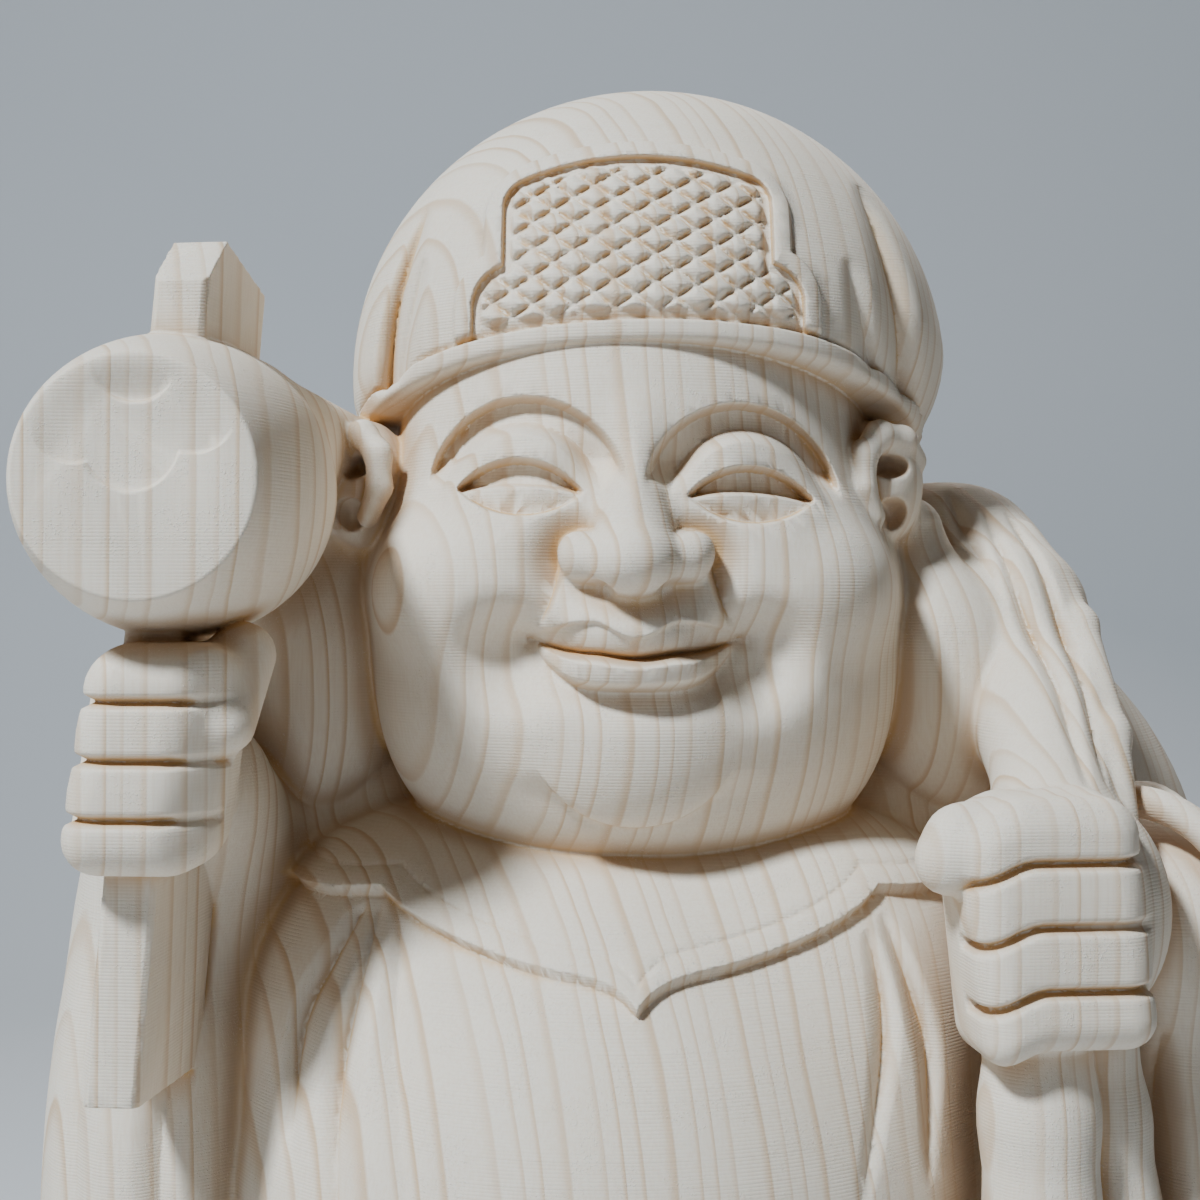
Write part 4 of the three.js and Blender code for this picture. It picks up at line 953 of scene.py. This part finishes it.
lines = [grid_lines(reach, fine) for reach, fine in zip(carving_reach, fine_reach)]
skin_points, skin_quads = skin(lines)
skin_points = in_batches(drawn_to_surface, skin_points)

# The skin is thinned while it is stretched where the detail is, so most triangles stay on the face,
# the cap and the hands, and few on the back and the legs.
true_depth, stretched_depth = (-100, -10, 100), (-270, 0, 55)
true_height, stretched_height = (-10, stand_height + 190, stand_height + 370), (-6, 150, 384)
stretched = skin_points.copy()
stretched[:, 1] = np.interp(skin_points[:, 1], true_depth, stretched_depth)
stretched[:, 2] = np.interp(skin_points[:, 2], true_height, stretched_height)
rough_mesh = bpy.data.meshes.new("rough_carving")
rough_mesh.from_pydata(stretched * 0.001, [], skin_quads)
rough = bpy.data.objects.new("rough_carving", rough_mesh)
bpy.context.scene.collection.objects.link(rough)
thinning = rough.modifiers.new("thinning", "DECIMATE")
thinning.ratio = min(1, triangle_limit / (2 * len(skin_quads)))
thinning.use_collapse_triangulate = True
carving_mesh = bpy.data.meshes.new_from_object(
    rough.evaluated_get(bpy.context.evaluated_depsgraph_get()))
bpy.data.objects.remove(rough)

flat_points = np.empty(3 * len(carving_mesh.vertices))
carving_mesh.vertices.foreach_get("co", flat_points)
carving_points = flat_points.reshape(-1, 3) * 1000
carving_points[:, 1] = np.interp(carving_points[:, 1], stretched_depth, true_depth)
carving_points[:, 2] = np.interp(carving_points[:, 2], stretched_height, true_height)
carving_points = in_batches(drawn_to_surface, carving_points)
carving_normals = in_batches(normal_of, carving_points)
flat_corners = np.empty(len(carving_mesh.loops), np.int32)
carving_mesh.loops.foreach_get("vertex_index", flat_corners)
corners = flat_corners.reshape(-1, 3)
carving_points, carving_normals = unfolded(carving_points, carving_normals, corners)
carving_normals = unit(carving_normals + normal_of_triangles(carving_points, corners))
carving_mesh.vertices.foreach_set("co", (carving_points * 0.001).ravel())
carving_mesh.polygons.foreach_set("use_smooth", np.ones(len(carving_mesh.polygons), bool))

# How far into a recess each point lies, worked out from how near the wood is just outside it, for painted
# shade. A crevice is a recess about a millimetre wide, and it is painted with a darker ochre shade.
recess_reaches = {"crevice": [0.7, 1.3], "recess": [2, 5, 9]}
for name, reaches in recess_reaches.items():
    open_air = np.zeros(len(carving_points))
    for reach in reaches:
        outside = in_batches(shape_at, carving_points + carving_normals * reach)
        open_air += np.clip(outside / reach, 0, 1) / len(reaches)
    attribute = carving_mesh.attributes.new(name, "FLOAT", "POINT")
    attribute.data.foreach_set("value", np.clip(1 - open_air, 0, 1))
carving_mesh.update()
carving_mesh.normals_split_custom_set_from_vertices(carving_normals)

carving = bpy.data.objects.new("daikoku_carving", carving_mesh)
bpy.context.scene.collection.objects.link(carving)

# The bare cypress
# Pale, unfinished wood. The growth rings stand upright through the block and the cutter left level lines.
# Fresh cut fibres stand up here and there, and painted shade makes the recesses darker and warmer.

early_wood = (0.80, 0.71, 0.585, 1)
late_wood = (0.62, 0.43, 0.265, 1)
# Painted shade, laid into the recesses.
shade_wood = (0.56, 0.38, 0.23, 1)
# Painted shade, a darker ochre laid into the crevices.
crevice_shade_wood = (0.62, 0.37, 0.14, 1)
patch_wood = (0.80, 0.68, 0.53, 1)
fuzz_wood = (0.90, 0.83, 0.71, 1)
heart_away = (270.0, 150.0)
ring_spacing = 3.3
cutter_pitch = 0.46


def new_group(name, inputs, outputs):
    group = bpy.data.node_groups.new(name, "ShaderNodeTree")
    for label, default in inputs:
        kind = "NodeSocketVector" if default is None else "NodeSocketFloat"
        socket = group.interface.new_socket(label, in_out="INPUT", socket_type=kind)
        if default is not None:
            socket.default_value = default
    for label in outputs:
        group.interface.new_socket(label, in_out="OUTPUT", socket_type="NodeSocketFloat")
    return group, group.nodes.new("NodeGroupInput"), group.nodes.new("NodeGroupOutput")


def put(tree, kind, *feeds, **settings):
    node = tree.nodes.new(kind)
    for name, value in settings.items():
        setattr(node, name, value)
    for place, feed in enumerate(feeds):
        if feed is None:
            continue
        if isinstance(feed, bpy.types.NodeSocket):
            tree.links.new(feed, node.inputs[place])
        else:
            node.inputs[place].default_value = feed
    return node


def sums(tree, operation, *feeds):
    return put(tree, "ShaderNodeMath", *feeds, operation=operation).outputs[0]


def times(tree, a, b):
    return sums(tree, "MULTIPLY", a, b)


def plus(tree, a, b):
    return sums(tree, "ADD", a, b)


def ease_nodes(tree, value, low, high, start=0.0, end=1.0):
    node = put(tree, "ShaderNodeMapRange", value, low, high, start, end, interpolation_type="SMOOTHSTEP")
    return node.outputs[0]


def cloudy(tree, place, scale, detail=2.0):
    node = put(tree, "ShaderNodeTexNoise", place)
    node.inputs["Scale"].default_value = scale
    node.inputs["Detail"].default_value = detail
    return node.outputs["Fac"]


# Growth rings round a heart that lies far off to the figure's right and a little behind.
rings, ring_in, ring_out = new_group(
    "growth_rings", [("Place", None), ("Spacing", ring_spacing), ("Wander", 0.8)], ["Line", "Early"])
place = ring_in.outputs["Place"]
stretched = put(rings, "ShaderNodeMapping", place, None, None, (1, 1, 0.16)).outputs[0]
slow = sums(rings, "SUBTRACT", cloudy(rings, stretched, 0.022, 1.0), 0.5)
quick = sums(rings, "SUBTRACT", cloudy(rings, stretched, 0.11, 1.0), 0.5)
split = put(rings, "ShaderNodeSeparateXYZ", place)
from_heart_x = plus(rings, split.outputs[0], heart_away[0])
from_heart_y = plus(rings, split.outputs[1], heart_away[1])
flat_place = put(rings, "ShaderNodeCombineXYZ", from_heart_x, from_heart_y, 0.0).outputs[0]
radius = put(rings, "ShaderNodeVectorMath", flat_place, operation="LENGTH").outputs["Value"]
both = plus(rings, times(rings, slow, 9.0), quick)
wander = times(rings, ring_in.outputs["Wander"], both)
ring_place = sums(rings, "DIVIDE", plus(rings, radius, wander), ring_in.outputs["Spacing"])
uneven = times(rings, sums(rings, "SINE", times(rings, ring_place, 1.7)), 0.28)
ring_place = plus(rings, ring_place, uneven)
part_way = sums(rings, "FRACT", ring_place)
number = sums(rings, "FLOOR", ring_place)
random = put(rings, "ShaderNodeTexWhiteNoise", None, number, noise_dimensions="1D").outputs["Value"]
rising = sums(rings, "POWER", ease_nodes(rings, part_way, 0.60, 0.93), 1.6)
falling = ease_nodes(rings, part_way, 0.94, 1.0, 1.0, 0.0)
strength = put(rings, "ShaderNodeMapRange", random, 0.0, 1.0, 0.35, 1.0).outputs[0]
rings.links.new(times(rings, times(rings, rising, falling), strength), ring_out.inputs["Line"])
rings.links.new(part_way, ring_out.inputs["Early"])

# Level lines of the cutter, about half a millimetre apart, here deeper and there nearly gone.
cutter, cutter_in, cutter_out = new_group(
    "cutter_lines", [("Place", None), ("Pitch", cutter_pitch)], ["Height"])
split = put(cutter, "ShaderNodeSeparateXYZ", cutter_in.outputs["Place"])
turns = sums(cutter, "DIVIDE", split.outputs[2], cutter_in.outputs["Pitch"])
scallop = sums(cutter, "ABSOLUTE", sums(cutter, "SINE", times(cutter, turns, math.pi)))
pass_number = sums(cutter, "FLOOR", turns)
pass_depth = put(cutter, "ShaderNodeTexWhiteNoise", None, pass_number, noise_dimensions="1D").outputs["Value"]
patches = ease_nodes(cutter, cloudy(cutter, cutter_in.outputs["Place"], 0.09, 2.0), 0.38, 0.66, 0.25, 1.0)
height = plus(cutter, times(cutter, scallop, 0.6), times(cutter, pass_depth, 0.7))
cutter.links.new(times(cutter, height, patches), cutter_out.inputs["Height"])

# Fine upright fibres, and the specks of fuzz where the cutter tore them.
fibres, fibre_in, fibre_out = new_group("cut_fibres", [("Place", None)], ["Streaks", "Fuzz"])
drawn = put(fibres, "ShaderNodeMapping", fibre_in.outputs["Place"], None, None, (1, 1, 0.05)).outputs[0]
streaks = cloudy(fibres, drawn, 2.6, 3.0)
fine_fuzz = cloudy(fibres, fibre_in.outputs["Place"], 3.4, 3.0)
patchy = ease_nodes(fibres, cloudy(fibres, fibre_in.outputs["Place"], 0.16, 2.0), 0.42, 0.62)
fuzz = times(fibres, ease_nodes(fibres, fine_fuzz, 0.55, 0.75), patchy)
fibres.links.new(streaks, fibre_out.inputs["Streaks"])
fibres.links.new(fuzz, fibre_out.inputs["Fuzz"])


def use_group(tree, group, **values):
    node = put(tree, "ShaderNodeGroup", node_tree=group)
    for label, value in values.items():
        if isinstance(value, bpy.types.NodeSocket):
            tree.links.new(value, node.inputs[label])
        else:
            node.inputs[label].default_value = value
    return node


def blend_colours(tree, amount, a, b):
    node = tree.nodes.new("ShaderNodeMix")
    node.data_type = "RGBA"
    for socket, feed in ((node.inputs[0], amount), (node.inputs[6], a), (node.inputs[7], b)):
        if isinstance(feed, bpy.types.NodeSocket):
            tree.links.new(feed, socket)
        else:
            socket.default_value = feed
    return node.outputs[2]


cypress = bpy.data.materials.new("bare_cypress")
cypress.use_nodes = True
tree = cypress.node_tree
shader = tree.nodes["Principled BSDF"]
shader.inputs["IOR"].default_value = 1.45
shader.inputs["Specular IOR Level"].default_value = 0.3
shader.inputs["Subsurface Weight"].default_value = 0.06
shader.inputs["Subsurface Radius"].default_value = (1.0, 0.42, 0.18)
shader.inputs["Subsurface Scale"].default_value = 0.002
metres = tree.nodes.new("ShaderNodeTexCoord").outputs["Object"]
place = put(tree, "ShaderNodeMapping", metres, None, None, (1000, 1000, 1000)).outputs[0]
ring = use_group(tree, rings, Place=place)
lines_left = use_group(tree, cutter, Place=place)
fibre = use_group(tree, fibres, Place=place)
# The recess attribute carries painted shade, and the crevice attribute carries painted ochre shade.
depth = put(tree, "ShaderNodeAttribute", attribute_name="recess").outputs["Fac"]
crevice = put(tree, "ShaderNodeAttribute", attribute_name="crevice").outputs["Fac"]

patch = ease_nodes(tree, cloudy(tree, place, 0.03, 2.0), 0.35, 0.65)
tints = [
    (times(tree, patch, 0.25), patch_wood),
    (times(tree, ring.outputs["Early"], 0.16), late_wood),
    (times(tree, ring.outputs["Line"], 0.95), late_wood),
    (ease_nodes(tree, fibre.outputs["Streaks"], 0.35, 0.7, 0.0, 0.16), late_wood),
    # Painted shade: recesses are darkened towards shade_wood, and crevices towards a darker ochre.
    (ease_nodes(tree, depth, 0.2, 0.8, 0.0, 0.75), shade_wood),
    (ease_nodes(tree, crevice, 0.25, 0.75, 0.0, 0.65), crevice_shade_wood),
    (times(tree, fibre.outputs["Fuzz"], 0.35), fuzz_wood),
]
colour = early_wood
for amount, tint in tints:
    colour = blend_colours(tree, amount, colour, tint)
tree.links.new(colour, shader.inputs["Base Color"])
roughness = put(tree, "ShaderNodeMapRange", ring.outputs["Line"], 0.0, 1.0, 0.74, 0.6).outputs[0]
tree.links.new(roughness, shader.inputs["Roughness"])

heights = [
    (lines_left.outputs["Height"], 0.06),
    (ring.outputs["Line"], 0.03),
    (fibre.outputs["Fuzz"], 0.08),
    (fibre.outputs["Streaks"], 0.03),
]
surface = 0.0
for feed, height in heights:
    surface = plus(tree, surface, times(tree, feed, height))
bump = tree.nodes.new("ShaderNodeBump")
bump.inputs["Strength"].default_value = 0.8
bump.inputs["Distance"].default_value = 0.001
tree.links.new(surface, bump.inputs["Height"])
tree.links.new(bump.outputs["Normal"], shader.inputs["Normal"])

carving.data.materials.clear()
carving.data.materials.append(cypress)
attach(carving, "root")
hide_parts("figure")

# The floor and the light
# A plain pale floor that turns up far behind the figure. One wide, cool lamp stands high in front on
# the viewer's left and leaves the right side in soft shade. A weaker lamp lights the back.

floor_bend = 0.6
floor_points, floor_faces = [], []
profile = [(-3.0, 0.0), (1.2, 0.0)]
for step in range(1, 13):
    turn = math.radians(90 * step / 12)
    profile.append((1.2 + floor_bend * math.sin(turn), floor_bend * (1 - math.cos(turn))))
profile.append((1.2 + floor_bend, 3.5))
for y, z in profile:
    floor_points += [(-4, y, z), (4, y, z)]
for row in range(len(profile) - 1):
    floor_faces.append((2 * row, 2 * row + 1, 2 * row + 3, 2 * row + 2))
floor_mesh = bpy.data.meshes.new("floor")
floor_mesh.from_pydata(floor_points, [], floor_faces)
floor_mesh.polygons.foreach_set("use_smooth", [True] * len(floor_faces))
floor = bpy.data.objects.new("floor", floor_mesh)
bpy.context.scene.collection.objects.link(floor)
paper = bpy.data.materials.new("pale_floor")
paper.use_nodes = True
paper_shader = paper.node_tree.nodes["Principled BSDF"]
paper_shader.inputs["Base Color"].default_value = (0.7, 0.71, 0.72, 1)
paper_shader.inputs["Roughness"].default_value = 0.9
floor_mesh.materials.append(paper)


def lamp(name, place, aim, size, power, tint):
    light = bpy.data.objects.new(name, bpy.data.lights.new(name, "AREA"))
    light.data.shape = "DISK"
    light.data.size = size
    light.data.energy = power
    light.data.color = tint
    light.location = place
    light.rotation_euler = (Vector(aim) - Vector(place)).to_track_quat("-Z", "Y").to_euler()
    bpy.context.scene.collection.objects.link(light)


lamp("high_left", place=(-0.78, -0.86, 1.6), aim=(-0.005, -0.04, 0.335), size=0.24, power=56,
     tint=(0.80, 0.90, 1.0))
lamp("behind", place=(0.5, 1.0, 1.1), aim=(0, 0.05, 0.2), size=0.8, power=8, tint=(1.0, 0.97, 0.93))

world = bpy.data.worlds.new("studio")
world.use_nodes = True
background = world.node_tree.nodes["Background"]
background.inputs["Color"].default_value = (1.0, 0.96, 0.92, 1)
background.inputs["Strength"].default_value = 0.02
bpy.context.scene.world = world
